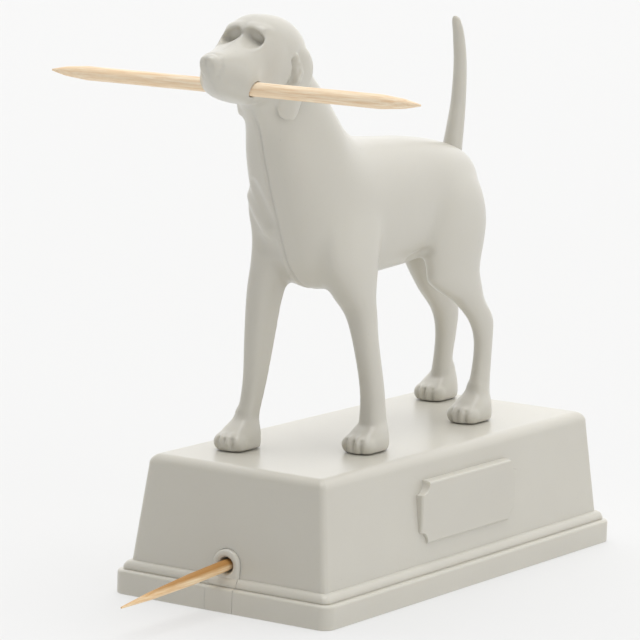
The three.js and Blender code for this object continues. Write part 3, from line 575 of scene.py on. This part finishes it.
# Forms first, all in millimetres: flews, cheek bone, the hollow behind the muzzle, the stop and the brows.
depth = 0.25 * near((4.0, -44.6, 58.2), (2.4, 3.0, 3.2))
depth += 0.2 * near((4.9, -38.5, 60.5), (2.0, 3.0, 3.5))
depth -= 0.16 * along([(4.9, -41.0, 62.0), (5.0, -41.4, 59.6), (5.0, -41.6, 57.6)], 2.0)
depth -= 0.2 * near((0, -41.5, 65.0), (1.2, 2.5, 1.5))
depth += 0.35 * along([(0.9, -40.6, 66.1), (2.2, -40.4, 65.9), (3.7, -39.6, 65.2)], 1.0, scale=(1, 0.6, 1))
p = p + outward() * depth[:, None]
# Each eye lies in an almond-shaped notch that is cut back under the brow and runs out over the cheek.
EYE_X, EYE_Z, EYE_TILT = 1.95, 63.95, math.radians(26)
NOTCH_HALF_LENGTH, NOTCH_HALF_HEIGHT, NOTCH_SQUARENESS = 1.9, 1.05, 2.5
out, rise = np.abs(p[:, 0]) - EYE_X, p[:, 2] - EYE_Z
run = out * math.cos(EYE_TILT) - rise * math.sin(EYE_TILT)
rise = out * math.sin(EYE_TILT) + rise * math.cos(EYE_TILT)
from_middle = (np.abs(run / NOTCH_HALF_LENGTH) ** NOTCH_SQUARENESS
               + np.abs(rise / NOTCH_HALF_HEIGHT) ** NOTCH_SQUARENESS)
notch = (1 - smoothstep(from_middle, 0.55, 1.15)) * (p[:, 1] < -36)
eyeball = 0.3 * np.clip(1 - (run / 1.4) ** 2 - ((rise + 0.3) / 0.8) ** 2, 0, 1)
back_wall = -39.6 - 0.4 * rise + 0.15 * run - eyeball
p[:, 1] += np.maximum(back_wall - p[:, 1], 0) * notch
p = relaxed(0.5 * np.clip(3 * near((2.3, -41.0, 64.0), (4, 5, 4)), 0, 1), 4)
# Then the details: nose, nostrils, the nose's edge, the lips, and each ear's fold with the hollow before it.
depth = 0.25 * near((0, -49.8, 60.6), (1.9, 1.5, 1.7))
depth -= 0.35 * near((0.85, -49.9, 60.3), (0.5, 0.9, 0.42))
depth -= 0.18 * along([(0, -48.2, 62.1), (1.4, -48.3, 61.6), (1.9, -48.4, 60.0), (1.2, -48.6, 58.6)], 0.6)
depth -= 0.2 * along([(4.7, -43.3, 56.4), (4.3, -44.4, 55.9), (3.7, -45.6, 55.7)], 0.5)
depth += 0.4 * along([(5.3, -34.3, 61.2), (5.8, -33.5, 59.8), (5.85, -33.5, 58.6), (5.8, -34.4, 57.2)], 0.5)
depth -= 0.8 * along([(5.1, -34.9, 60.5), (5.2, -34.6, 59.6), (5.2, -34.6, 58.6), (5.2, -35.0, 57.7),
                      (5.2, -35.7, 56.8)], 0.65, scale=(0.5, 1, 1))
p = p + outward() * depth[:, None]

# The far shoulder's ridge, the hollows beside and under it, and the fold from belly to knee.
depth = np.zeros(count)
for height, width, path in (
    (0.38, 1.5, [(-5.6, -29.4, 38.9), (-4.2, -29.4, 36.4), (-2.6, -29.0, 34.0)]),
    (-0.36, 1.6, [(-3.2, -31.2, 41.0), (-2.1, -30.5, 38.2), (-1.2, -29.6, 35.8)]),
    (-0.34, 2.0, [(-4.2, -28.3, 31.6), (-3.0, -27.5, 31.4), (-1.6, -26.8, 31.2)]),
):
    depth += height * along(path, width, both=False, scale=(1, 0.3, 1))
depth -= 0.6 * along([(5.2, 1.2, 27.4), (6.2, 4.2, 28.2)], 1.4, scale=(0.5, 1, 1))
p = p + outward() * depth[:, None]

# The chest comes to a keel, and the seam of the two halves runs down it to the belly.
KEEL_HEIGHT, KEEL_HALF_WIDTH, SEAM_DEPTH, SEAM_HALF_WIDTH = 0.4, 2.5, 0.3, 0.4
chest = smoothstep(-p[:, 1], 17, 24) * smoothstep(-p[:, 2], -54, -48) * (outward()[:, 1] < 0.3)
p[:, 1] += KEEL_HEIGHT * (1 - (1 - np.clip(np.abs(p[:, 0]) / KEEL_HALF_WIDTH, 0, 1)) ** 2) * chest
p = relaxed(0.5 * (1 - np.clip(4 * np.maximum(paw_zone, ear_zone), 0, 0.9)), 2)
n = outward()
front = smoothstep(-n[:, 1] - 0.6 * n[:, 2], 0.0, 0.5) * smoothstep(-p[:, 2], -53, -50)
depth = -SEAM_DEPTH * np.clip(1 - (p[:, 0] / SEAM_HALF_WIDTH) ** 2, 0, 1) * front
# Three grooves part each paw's toes; the outer two start further back.
TOE_SPACING, GROOVE_DEPTH, GROOVE_WIDTH = 1.3, 0.4, 0.46
for px, py in PLACES:
    for dx in (-TOE_SPACING, 0.0, TOE_SPACING):
        reach = 0.55 if dx else 0.0
        groove = [(px + dx, py - 4.6 + reach, 0.2), (px + dx, py - 4.4 + reach, 1.2),
                  (px + 0.95 * dx, py - 4.1 + reach, 1.9)]
        depth -= GROOVE_DEPTH * along(groove, GROOVE_WIDTH, both=False, scale=(1, 0.6, 1))
p = p + n * depth[:, None]
p[:, 2] = np.maximum(p[:, 2], 0)

body.vertices.foreach_set("co", ((p + (0, 0, SOLES)) * MM).ravel())
body.update()


def half_of(side):
    """One moulded half: the skin cut beside the middle plane, closed and bored for the toothpick."""
    work = bmesh.new()
    work.from_mesh(body)
    bmesh.ops.bisect_plane(work, geom=work.verts[:] + work.edges[:] + work.faces[:], dist=SAME_PLACE,
                           plane_co=(side * GLUE_LINE * MM, 0, 0), plane_no=(-side, 0, 0), clear_outer=True)
    bmesh.ops.holes_fill(work, edges=[e for e in work.edges if e.is_boundary], sides=0)
    bmesh.ops.triangulate(work, faces=[f for f in work.faces if len(f.verts) > 4])
    made = bpy.data.meshes.new("dog half")
    work.to_mesh(made)
    work.free()
    bore = rod((MOUTH_Y, SOLES + MOUTH_Z), MOUTH_BORE_RADIUS, -12, 12, "x")
    return shaped(made, [("DIFFERENCE", bore)], smooth_angle=50)


new_piece("dog_left_moulding", half_of(1), grey_abs, "plinth", "grey_plastic", "dog_left_half")
new_piece("dog_right_moulding", half_of(-1), grey_abs, "plinth", "grey_plastic", "dog_right_half")

# Tail
# A small solid ABS moulding, a bent rod that narrows to a blunt tip. Its root is trapped between the dog's
# halves as they are glued, so its edge stays crisp where it leaves the rump.
TAIL = [[19.35, 36.0, 1.7], [19.35, 41.0, 1.7], [19.8, 44.0, 1.56], [20.4, 47.0, 1.4], [21.0, 51.0, 1.2],
        [21.08, 56.5, 1.06], [20.33, 61.0, 0.94], [19.43, 63.5, 0.68], [19.05, 64.2, 0.28]]
round_about = np.linspace(0, 2 * math.pi, 29)[:-1]
tail = skin([[(radius * math.cos(a), y + radius * math.sin(a), SOLES + z) for a in round_about]
             for y, z, radius in curved(TAIL, 10)])
new_piece("tail_moulding", smoothed(to_mesh("tail", tail), 60), grey_abs, "plinth", "grey_plastic", "tail")

# Paw screws
# Four zinc-plated steel screws for plastic come up through the plinth's top into the paws. The head is
# pressed, with a hex drive, and the coarse thread is rolled into the shank.
# Where faces meet at more than this many degrees, the edge stays sharp.
CREASE = 40
PAW_SCREWS = ["left_fore_screw", "right_fore_screw", "left_hind_screw", "right_hind_screw"]


def zinc_plated_steel(name, colour, roughness):
    """Bright zinc on cold-formed steel: a cool grey metal whose plating clouds its gloss in small patches."""
    material, tree = new_material(name)
    place = add(tree, "ShaderNodeTexCoord").outputs["Object"]
    # Plating patches are about half a millimetre across.
    cloud = add(tree, "ShaderNodeTexNoise", {"Vector": place, "Scale": 1800.0, "Detail": 3.0})
    tone = add(tree, "ShaderNodeMix", {
        "Factor": cloud, "A": linear(colour), "B": linear("#d3d6d9"),
    }, data_type="RGBA")
    rough = add(tree, "ShaderNodeMapRange", {
        "Value": cloud, "To Min": roughness - 0.08, "To Max": roughness + 0.08,
    })
    shader = add(tree, "ShaderNodeBsdfPrincipled", {"Base Color": tone, "Metallic": 1.0, "Roughness": rough})
    add(tree, "ShaderNodeOutputMaterial", {"Surface": shader})
    return material


def node_tree(name, sizes):
    """A Geometry Nodes tree with named inputs in metres, and what it is given and gives back."""
    tree = bpy.data.node_groups.new(name, "GeometryNodeTree")
    for way in ("INPUT", "OUTPUT"):
        tree.interface.new_socket("Geometry", in_out=way, socket_type="NodeSocketGeometry")
    for label, value in sizes.items():
        kind = {float: "Float", int: "Int", tuple: "Vector"}.get(type(value), "Material")
        made = tree.interface.new_socket(label, in_out="INPUT", socket_type="NodeSocket" + kind)
        made.default_value = value
    return tree, add(tree, "NodeGroupInput").outputs, add(tree, "NodeGroupOutput")


def grown(tree, places, **sizes):
    """What a tree makes at each of the places, as one plain mesh."""
    seeds = bpy.data.meshes.new("places")
    seeds.from_pydata([tuple(place) for place in places], [], [])
    carrier = in_scene("places", seeds)
    modifier = carrier.modifiers.new(tree.name, "NODES")
    modifier.node_group = tree
    for socket in tree.interface.items_tree:
        value = sizes.get(socket.name.lower().replace(" ", "_"))
        if value is not None:
            modifier[socket.identifier] = value
    return smoothed(result_of(carrier), CREASE)


def screw_tree(material):
    """A hex-drive pan-head screw that points up, with a real right-hand thread, at every given point."""
    tree, given, result = node_tree("hex-drive screw", {
        "Length": 0.0073, "Head Height": 0.0013, "Head Radius": 0.0018, "Shank Radius": 0.001,
        "Thread Pitch": 0.0008, "Thread Depth": 0.22, "Drive Radius": 0.0007, "Drive Depth": 0.0008,
        "Material": material,
    })
    place = add(tree, "GeometryNodeInputPosition")
    axes = add(tree, "ShaderNodeSeparateXYZ", {"Vector": place})
    # The shank's radius rises and falls once a pitch, a turn later on each side, and tapers at the point.
    shank_length = add(tree, "ShaderNodeMath", {
        0: given["Length"], 1: given["Head Height"],
    }, operation="SUBTRACT")
    shank = add(tree, "GeometryNodeMeshCylinder", {
        "Vertices": 20, "Side Segments": 56, "Radius": given["Shank Radius"], "Depth": shank_length,
    })
    turn = add(tree, "ShaderNodeMath", {0: axes.outputs["Y"], 1: axes.outputs["X"]}, operation="ARCTAN2")
    pitches = add(tree, "ShaderNodeMath", {
        0: axes.outputs["Z"], 1: given["Thread Pitch"],
    }, operation="DIVIDE")
    phase = add(tree, "ShaderNodeMath", {0: pitches, 1: math.tau}, operation="MULTIPLY")
    lag = add(tree, "ShaderNodeMath", {0: phase, 1: turn}, operation="SUBTRACT")
    wave = add(tree, "ShaderNodeMath", {0: lag}, operation="COSINE")
    root = add(tree, "ShaderNodeMath", {0: 1.0, 1: given["Thread Depth"]}, operation="SUBTRACT")
    thread = add(tree, "ShaderNodeMapRange", {
        "Value": wave, "From Min": -1.0, "From Max": 1.0, "To Min": root,
    })
    tip = add(tree, "ShaderNodeMath", {0: shank_length, 1: 0.5}, operation="MULTIPLY")
    start = add(tree, "ShaderNodeMath", {0: tip, 1: 0.0012}, operation="SUBTRACT")
    point = add(tree, "ShaderNodeMapRange", {
        "Value": axes.outputs["Z"], "From Min": start, "From Max": tip, "To Min": 1.0, "To Max": 0.45,
    })
    slim = add(tree, "ShaderNodeMath", {0: thread, 1: point}, operation="MULTIPLY")
    scale = add(tree, "ShaderNodeCombineXYZ", {"X": slim, "Y": slim, "Z": 1.0})
    cut = add(tree, "ShaderNodeVectorMath", {0: place, 1: scale}, operation="MULTIPLY")
    threaded = add(tree, "GeometryNodeSetPosition", {"Geometry": shank, "Position": cut})
    # The pan head is rounded where its side meets its face, and the drive is pressed into the face.
    head = add(tree, "GeometryNodeMeshCylinder", {
        "Vertices": 40, "Side Segments": 8, "Radius": given["Head Radius"], "Depth": given["Head Height"],
    })
    half_head = add(tree, "ShaderNodeMath", {0: given["Head Height"], 1: 0.5}, operation="MULTIPLY")
    face = add(tree, "ShaderNodeMath", {0: half_head, 1: -1.0}, operation="MULTIPLY")
    lift = add(tree, "ShaderNodeMapRange", {"Value": axes.outputs["Z"], "From Min": face, "From Max": 0.0})
    curve = add(tree, "ShaderNodeMath", {0: lift, 1: 0.45}, operation="POWER")
    girth = add(tree, "ShaderNodeMath", {0: curve, 1: 0.2, 2: 0.8}, operation="MULTIPLY_ADD")
    swell = add(tree, "ShaderNodeCombineXYZ", {"X": girth, "Y": girth, "Z": 1.0})
    domed = add(tree, "ShaderNodeVectorMath", {0: place, 1: swell}, operation="MULTIPLY")
    pan = add(tree, "GeometryNodeSetPosition", {"Geometry": head, "Position": domed})
    depth = add(tree, "ShaderNodeMath", {0: given["Drive Depth"], 1: 2.0}, operation="MULTIPLY")
    hexagon = add(tree, "GeometryNodeMeshCylinder", {
        "Vertices": 6, "Radius": given["Drive Radius"], "Depth": depth,
    })
    low = add(tree, "ShaderNodeCombineXYZ", {"Z": face})
    drive = add(tree, "GeometryNodeTransform", {"Geometry": hexagon, "Translation": low})
    pressed = add(tree, "GeometryNodeMeshBoolean", {"Mesh 1": pan, "Mesh 2": drive}, operation="DIFFERENCE")
    rise = add(tree, "ShaderNodeMath", {0: shank_length, 1: 0.5, 2: half_head}, operation="MULTIPLY_ADD")
    up = add(tree, "ShaderNodeCombineXYZ", {"Z": rise})
    raised = add(tree, "GeometryNodeTransform", {"Geometry": threaded, "Translation": up})
    screw = add(tree, "GeometryNodeJoinGeometry")
    for part in (pressed.outputs["Mesh"], raised.outputs["Geometry"]):
        tree.links.new(part, screw.inputs["Geometry"])
    back = add(tree, "ShaderNodeCombineXYZ", {"Z": half_head})
    seated = add(tree, "GeometryNodeTransform", {"Geometry": screw, "Translation": back})
    placed = add(tree, "GeometryNodeInstanceOnPoints", {"Points": given["Geometry"], "Instance": seated})
    real = add(tree, "GeometryNodeRealizeInstances", {"Geometry": placed})
    finished = add(tree, "GeometryNodeSetMaterial", {"Geometry": real, "Material": given["Material"]})
    tree.links.new(finished.outputs["Geometry"], result.inputs["Geometry"])
    return tree


def screw_seats(names):
    """The middle of each screw's face, and the length of one of them."""
    boxes = [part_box(name) for name in names]
    seats = [((low[0] + high[0]) / 2, (low[1] + high[1]) / 2, low[2]) for low, high in boxes]
    return seats, boxes[0][1][2] - boxes[0][0][2]


zinc = zinc_plated_steel("zinc-plated steel", "#b7babd", 0.34)
screws = screw_tree(zinc)
seats, length = screw_seats(PAW_SCREWS)
new_piece("paw_screws", grown(screws, seats, length=length), zinc, "plinth", "screw_steel", *PAW_SCREWS)

# Bottom cover
# A second moulding of the same grey ABS that pushes up into the plinth and closes it. Its tab carries the
# nozzle and fills the front wall's notch, its lip grips the shell, and two pads take the ramp's screws.
COVER_INSET, COVER_THICKNESS, COVER_CORNER = 2.65, 2.0, 1.0
LIP_INSET, LIP_TOP, LIP_WALL, WELL_CORNER, INSIDE_PLATE = 4.12, 4.4, 1.2, 0.8, 0.5
PADS, PAD_RADIUS, PAD_TOP = (-10.03, 19.97), 3.0, 3.4
RECESS_RADIUS, RECESS_TOP = 1.95, 1.6
TAB_PROUD, COLLAR_LOW, FEED_SLOPE = 0.03, 4.4, 4.0
GRIP_RADIUS, GRIP_DEPTH, GRIP_BACK = 6.0, 1.0, 39.85

# The bore flares at its mouth and the collar's rim is rounded, so that they meet in a soft ring. Each step is
# a distance behind the nozzle's face and a radius there.
BORE_STEPS = ((-0.97, 2.2), (0.0, 1.72), (0.08, 1.52), (0.25, 1.34), (0.6, BORE_RADIUS), (6.03, BORE_RADIUS))
COLLAR_STEPS = ((NOZZLE_PROUD + TAB_LENGTH, NOZZLE_RADIUS), (0.55, NOZZLE_RADIUS), (0.32, 2.4), (0.14, 2.27),
                (0.03, 2.08), (0.0, 1.9))
slope = math.tan(math.radians(FEED_SLOPE))
bore_rings = [[(x, NOZZLE_FACE + back, z) for x, z in circle((0, NOZZLE_HEIGHT + back * slope), radius, 40)]
              for back, radius in BORE_STEPS]
collar_rings = [[(x, NOZZLE_FACE + back, z) for x, z in arch(radius, COLLAR_LOW)]
                for back, radius in COLLAR_STEPS]
# The tab, flush with the plinth's outside, then its collar, the plate, the lip and the well inside it, the
# nozzle's inner end and the pads; last the bore, the screws' recesses and holes, and the finger grip.
cover = shaped(to_mesh("tab", prism(arch(NOZZLE_RADIUS, -PAST), -HALF_LENGTH - PAST, TAB_BACK, "y")), [
    ("INTERSECT", outer_plinth(-TAB_PROUD)),
    ("UNION", skin(collar_rings)),
    ("UNION", slab(COVER_INSET, COVER_CORNER, 0, COVER_THICKNESS)),
    ("UNION", slab(LIP_INSET, COVER_CORNER, INSIDE_PLATE, LIP_TOP)),
    ("DIFFERENCE", slab(LIP_INSET + LIP_WALL, WELL_CORNER, COVER_THICKNESS, LIP_TOP + PAST)),
    ("UNION", prism(arch(NOZZLE_RADIUS, INSIDE_PLATE), NOZZLE_FACE + 1, TAB_BACK, "y")),
    ("UNION", *[rod((0, y), PAD_RADIUS, INSIDE_PLATE, PAD_TOP) for y in PADS]),
    ("DIFFERENCE", skin(bore_rings)),
    ("DIFFERENCE", *[rod((0, y), RECESS_RADIUS, -PAST, RECESS_TOP) for y in PADS]),
    ("DIFFERENCE", *[rod((0, y), SCREW_HOLE_RADIUS, 1, PAD_TOP + PAST) for y in PADS]),
    ("DIFFERENCE", rod((0, GRIP_BACK), GRIP_RADIUS, -PAST, GRIP_DEPTH, sides=64)),
], bevel=0.2, bevel_angle=50, smooth_angle=25)
new_piece("cover_moulding", cover, grey_abs, "cover", "grey_plastic", "bottom_cover")

# Feed ramp
# A V-shaped floor with a groove down its middle, moulded in plain ABS without grain, since it is never seen.
# It leads the toothpicks down to the nozzle and stands on the cover's pads.
ramp = bmesh.new()
ramp.from_mesh(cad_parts["feed_ramp"].data)
bmesh.ops.remove_doubles(ramp, verts=ramp.verts, dist=1e-6)
bmesh.ops.dissolve_limit(ramp, angle_limit=math.radians(1), verts=ramp.verts, edges=ramp.edges)
floor_mesh = bpy.data.meshes.new("ramp")
ramp.to_mesh(floor_mesh)
ramp.free()
inner_abs = moulded_abs("moulded ABS, plain inner", "#b4b0a4", "#bbb7ab", 0.32, 0.004)
new_piece("ramp_moulding", shaped(floor_mesh, [], bevel=0.15), inner_abs,
          "cover", "inner_plastic", "feed_ramp")

# Ramp screws
# Two shorter screws of the same kind and the same zinc-plated steel. They are driven from below, through the
# cover's pads into the ramp.
RAMP_SCREWS = ["ramp_screw_1", "ramp_screw_2"]
seats, length = screw_seats(RAMP_SCREWS)
new_piece("ramp_screws", grown(screws, seats, length=length), zinc, "cover", "screw_steel", *RAMP_SCREWS)

# Toothpicks
# Turned birch, 65 mm long, pointed at both ends and left unfinished: ten stored on the ramp, one on its way
# out of the nozzle, and a thicker one across the dog's mouth.
STORED = [f"stored_toothpick_{side}_{i}" for side in ("left", "right") for i in range(1, 6)]


def turned_birch(name, pale, dark, streak, along_grain, painted_top_shade=None):
    """Unfinished birch: pale, matt, with fine darker vessels and slow warm streaks drawn out along the grain.

    The last argument is a colour and a height: above the height, the stick's upper side is painted in that
    browner colour as painted shade.
    """
    material, tree = new_material(name)
    place = add(tree, "ShaderNodeTexCoord").outputs["Object"]
    # Vessels are 0.06 mm wide and several millimetres long; they are drawn at 0.25 mm so that they show.
    fibres = add(tree, "ShaderNodeMapping", {"Vector": place, "Scale": along_grain})
    vessels = add(tree, "ShaderNodeTexNoise", {
        "Vector": fibres, "Scale": 3800.0, "Detail": 4.0, "Roughness": 0.6,
    })
    lines = add(tree, "ShaderNodeMapRange", {"Value": vessels, "From Min": 0.35, "From Max": 0.72})
    tone = add(tree, "ShaderNodeMix", {
        "Factor": lines, "A": linear(pale), "B": linear(dark),
    }, data_type="RGBA")
    slow = add(tree, "ShaderNodeTexNoise", {"Vector": fibres, "Scale": 900.0, "Detail": 2.0})
    warm = add(tree, "ShaderNodeMapRange", {"Value": slow, "From Min": 0.45, "From Max": 0.75, "To Max": 0.6})
    mixed = add(tree, "ShaderNodeMix", {"Factor": warm, "A": tone, "B": linear(streak)}, data_type="RGBA")
    # Painted shade: above the given height the stick's upper side turns browner.
    if painted_top_shade:
        colour, height = painted_top_shade
        level = add(tree, "ShaderNodeMapping", {
            "Vector": place, "Location": (0.0, 0.0, -height * MM),
            "Rotation": (-math.radians(FEED_SLOPE), 0.0, 0.0),
        })
        above = add(tree, "ShaderNodeSeparateXYZ", {"Vector": level})
        # The edge of the painted shade on the upper side wanders by a third of a millimetre.
        wander = add(tree, "ShaderNodeMath", {
            0: slow, 1: 0.7 * MM, 2: above.outputs["Z"],
        }, operation="MULTIPLY_ADD")
        browner = add(tree, "ShaderNodeMapRange", {
            "Value": wander, "From Min": 0.4 * MM, "From Max": 0.9 * MM, "To Max": 0.9,
        })
        mixed = add(tree, "ShaderNodeMix", {
            "Factor": browner, "A": mixed, "B": linear(colour),
        }, data_type="RGBA")
    bump = add(tree, "ShaderNodeBump", {"Height": vessels, "Strength": 0.5, "Distance": 0.06 * MM})
    shader = add(tree, "ShaderNodeBsdfPrincipled", {
        "Base Color": mixed, "Roughness": 0.62, "IOR": 1.5, "Normal": bump,
    })
    add(tree, "ShaderNodeOutputMaterial", {"Surface": shader})
    return material


def toothpick_tree(material):
    """A turned toothpick with two tapers at each end, a little uneven, at every given point."""
    tree, given, result = node_tree("toothpick", {
        "Length": 0.065, "Diameter": 0.0018, "Taper": 0.017, "Tip Radius": 0.00015, "Unevenness": 0.05,
        "Turn": (0.0, 0.0, 0.0), "Seed": 4, "Material": material,
    })
    stick = add(tree, "GeometryNodeMeshCylinder", {
        "Vertices": 18, "Side Segments": 130, "Radius": 1.0, "Depth": given["Length"],
    })
    place = add(tree, "GeometryNodeInputPosition")
    axes = add(tree, "ShaderNodeSeparateXYZ", {"Vector": place})
    # From the tip: to two thirds of the radius at 0.4 of the taper, then to the full radius.
    from_middle = add(tree, "ShaderNodeMath", {0: axes.outputs["Z"]}, operation="ABSOLUTE")
    half = add(tree, "ShaderNodeMath", {0: given["Length"], 1: 0.5}, operation="MULTIPLY")
    from_tip = add(tree, "ShaderNodeMath", {0: half, 1: from_middle}, operation="SUBTRACT")
    knee = add(tree, "ShaderNodeMath", {0: given["Taper"], 1: 0.4}, operation="MULTIPLY")
    two_thirds = add(tree, "ShaderNodeMath", {0: given["Diameter"], 1: 1 / 3}, operation="MULTIPLY")
    one_third = add(tree, "ShaderNodeMath", {0: given["Diameter"], 1: 1 / 6}, operation="MULTIPLY")
    steep = add(tree, "ShaderNodeMapRange", {
        "Value": from_tip, "From Max": knee, "To Min": given["Tip Radius"], "To Max": two_thirds,
    })
    slow = add(tree, "ShaderNodeMapRange", {
        "Value": from_tip, "From Min": knee, "From Max": given["Taper"], "To Max": one_third,
    })
    radius = add(tree, "ShaderNodeMath", {0: steep, 1: slow}, operation="ADD")
    # Wood tears a little under the knife: long, shallow flats, a millimetre wide and five long.
    drawn_out = add(tree, "ShaderNodeVectorMath", {0: place, 1: (0.9, 0.9, 200.0)}, operation="MULTIPLY")
    flats = add(tree, "ShaderNodeTexNoise", {
        "Vector": drawn_out, "W": given["Seed"], "Scale": 1.0, "Detail": 2.0,
    }, noise_dimensions="4D")
    loss = add(tree, "ShaderNodeMath", {0: flats, 1: given["Unevenness"]}, operation="MULTIPLY")
    kept = add(tree, "ShaderNodeMath", {0: 1.0, 1: loss}, operation="SUBTRACT")
    girth = add(tree, "ShaderNodeMath", {0: radius, 1: kept}, operation="MULTIPLY")
    scale = add(tree, "ShaderNodeCombineXYZ", {"X": girth, "Y": girth, "Z": 1.0})
    cut = add(tree, "ShaderNodeVectorMath", {0: place, 1: scale}, operation="MULTIPLY")
    pick = add(tree, "GeometryNodeSetPosition", {"Geometry": stick, "Position": cut})
    placed = add(tree, "GeometryNodeInstanceOnPoints", {
        "Points": given["Geometry"], "Instance": pick, "Rotation": given["Turn"],
    })
    # Each lies turned about its own line by chance.
    chance = add(tree, "FunctionNodeRandomValue", {"Max": math.tau, "Seed": given["Seed"]}, data_type="FLOAT")
    roll = add(tree, "ShaderNodeCombineXYZ", {"Z": chance})
    rolled = add(tree, "GeometryNodeRotateInstances", {"Instances": placed, "Rotation": roll})
    real = add(tree, "GeometryNodeRealizeInstances", {"Geometry": rolled})
    finished = add(tree, "GeometryNodeSetMaterial", {"Geometry": real, "Material": given["Material"]})
    tree.links.new(finished.outputs["Geometry"], result.inputs["Geometry"])
    return tree


def middles(names):
    """The middle of each toothpick's box."""
    return [tuple((a + b) / 2 for a, b in zip(*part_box(name))) for name in names]


# Toothpicks on the ramp lie along the feed line, which passes this high over the middle of the plinth.
fed = (math.radians(FEED_SLOPE - 90), 0.0, 0.0)
AXIS_HEIGHT = NOZZLE_HEIGHT - NOZZLE_FACE * slope
golden = turned_birch("turned birch, golden", "#f3dab2", "#d9aa72", "#dba767", (1.0, 0.05, 1.0))
# The served toothpick's upper side is painted browner above the feed line, as painted shade on its top.
shaded_on_top_birch = turned_birch("turned birch, painted shade on top", "#f6e0bc", "#dfb37c", "#e0b072", (1.0, 0.05, 1.0),
                       ("#a8742f", AXIS_HEIGHT))
rosy = turned_birch("turned birch, rosy", "#fdedd2", "#e7c49c", "#ecc89a", (0.05, 1.0, 1.0))
picks = toothpick_tree(golden)
for name, rides_on, nodes, wood, sizes in (
    ("stored_toothpicks", "cover", STORED, golden, {"turn": fed, "seed": 7}),
    ("served_toothpick", "front_pick", ["front_toothpick"], shaded_on_top_birch, {"turn": fed, "seed": 2}),
    ("held_toothpick", "mouth_pick", ["mouth_toothpick"], rosy,
     {"turn": (0.0, math.pi / 2, 0.0), "diameter": 0.0022, "taper": 0.0066, "seed": 3}),
):
    new_piece(name, grown(picks, middles(nodes), material=wood, **sizes), wood, rides_on, "birch", *nodes)

# Room
# A light table of pale opal acrylic in a bright tent of diffusing cloth, as for product photographs, and a
# camera at the photograph's angle.
opal, tree = new_material("opal acrylic, lit from below")
shader = add(tree, "ShaderNodeBsdfPrincipled", {
    "Base Color": [0.36] * 3 + [1.0], "Roughness": 0.8, "Specular IOR Level": 0.1,
    "Emission Color": linear("#fbfbfa"), "Emission Strength": 0.46,
})
add(tree, "ShaderNodeOutputMaterial", {"Surface": shader})
# Half the table's side, in metres: its edges lie far outside the view.
FAR = 9
table = bpy.data.meshes.new("table")
table.from_pydata([(-FAR, -FAR, 0), (FAR, -FAR, 0), (FAR, FAR, 0), (-FAR, FAR, 0)], [], [(0, 1, 2, 3)])
table.materials.append(opal)
in_scene("table", table)

world = bpy.data.worlds.new("tent")
bpy.context.scene.world = world
world.use_nodes = True
tree = world.node_tree
tree.nodes.clear()
seen = add(tree, "ShaderNodeBackground", {"Color": linear("#fbfbfa")})
# The cloth behind the object glows and fades towards the camera's side, which has a soft sun of its own.
aim = add(tree, "ShaderNodeTexCoord").outputs["Generated"]
behind = add(tree, "ShaderNodeVectorMath", {0: aim, 1: (-0.5, 0.8, 0.33)}, operation="DOT_PRODUCT")
level = add(tree, "ShaderNodeMapRange", {
    "Value": behind, "From Min": -0.5, "From Max": 0.8, "To Max": 1.3,
}, interpolation_type="SMOOTHSTEP")
lit = add(tree, "ShaderNodeBackground", {"Color": linear("#ffffff"), "Strength": level})
ray = add(tree, "ShaderNodeLightPath")
mix = add(tree, "ShaderNodeMixShader", {0: ray, 1: lit, 2: seen})
add(tree, "ShaderNodeOutputWorld", {"Surface": mix})


def soft_sun(name, towards, spread, power):
    """A broad, even light from one direction: no edge to its shadows and no falloff."""
    light = bpy.data.lights.new(name, "SUN")
    light.energy, light.angle = power, math.radians(spread)
    in_scene(name, light).rotation_euler = Vector(towards).to_track_quat("Z", "Y").to_euler()


soft_sun("overhead cloth", (0.05, -0.1, 1.0), 45, 1.4)
soft_sun("right cloth", (1.0, -0.1, 0.3), 50, 0.75)
soft_sun("camera side's cloth", (0.54, -0.83, 0.3), 60, 0.58)

# The camera stands where the plinth's corners and the whole toothpick say the photograph was taken from.
camera = bpy.data.cameras.new("camera")
FOCAL_PIXELS, PICTURE_WIDTH, SENSOR_WIDTH = 3857.449, 640, 36
camera.sensor_width, camera.lens = SENSOR_WIDTH, FOCAL_PIXELS * SENSOR_WIDTH / PICTURE_WIDTH
camera.clip_start, camera.clip_end = 0.05, 40.0
view = in_scene("camera", camera)
place = Matrix.Translation((0.316396, -0.504490, 0.132020))
right, up, back = (0.83533, 0.54873, 0.03346), (-0.11255, 0.11111, 0.98741), (0.53811, -0.82858, 0.15457)
view.matrix_world = place @ Matrix((right, up, back)).transposed().to_4x4()
bpy.context.scene.camera = view
bpy.context.scene.view_settings.view_transform = "Standard"
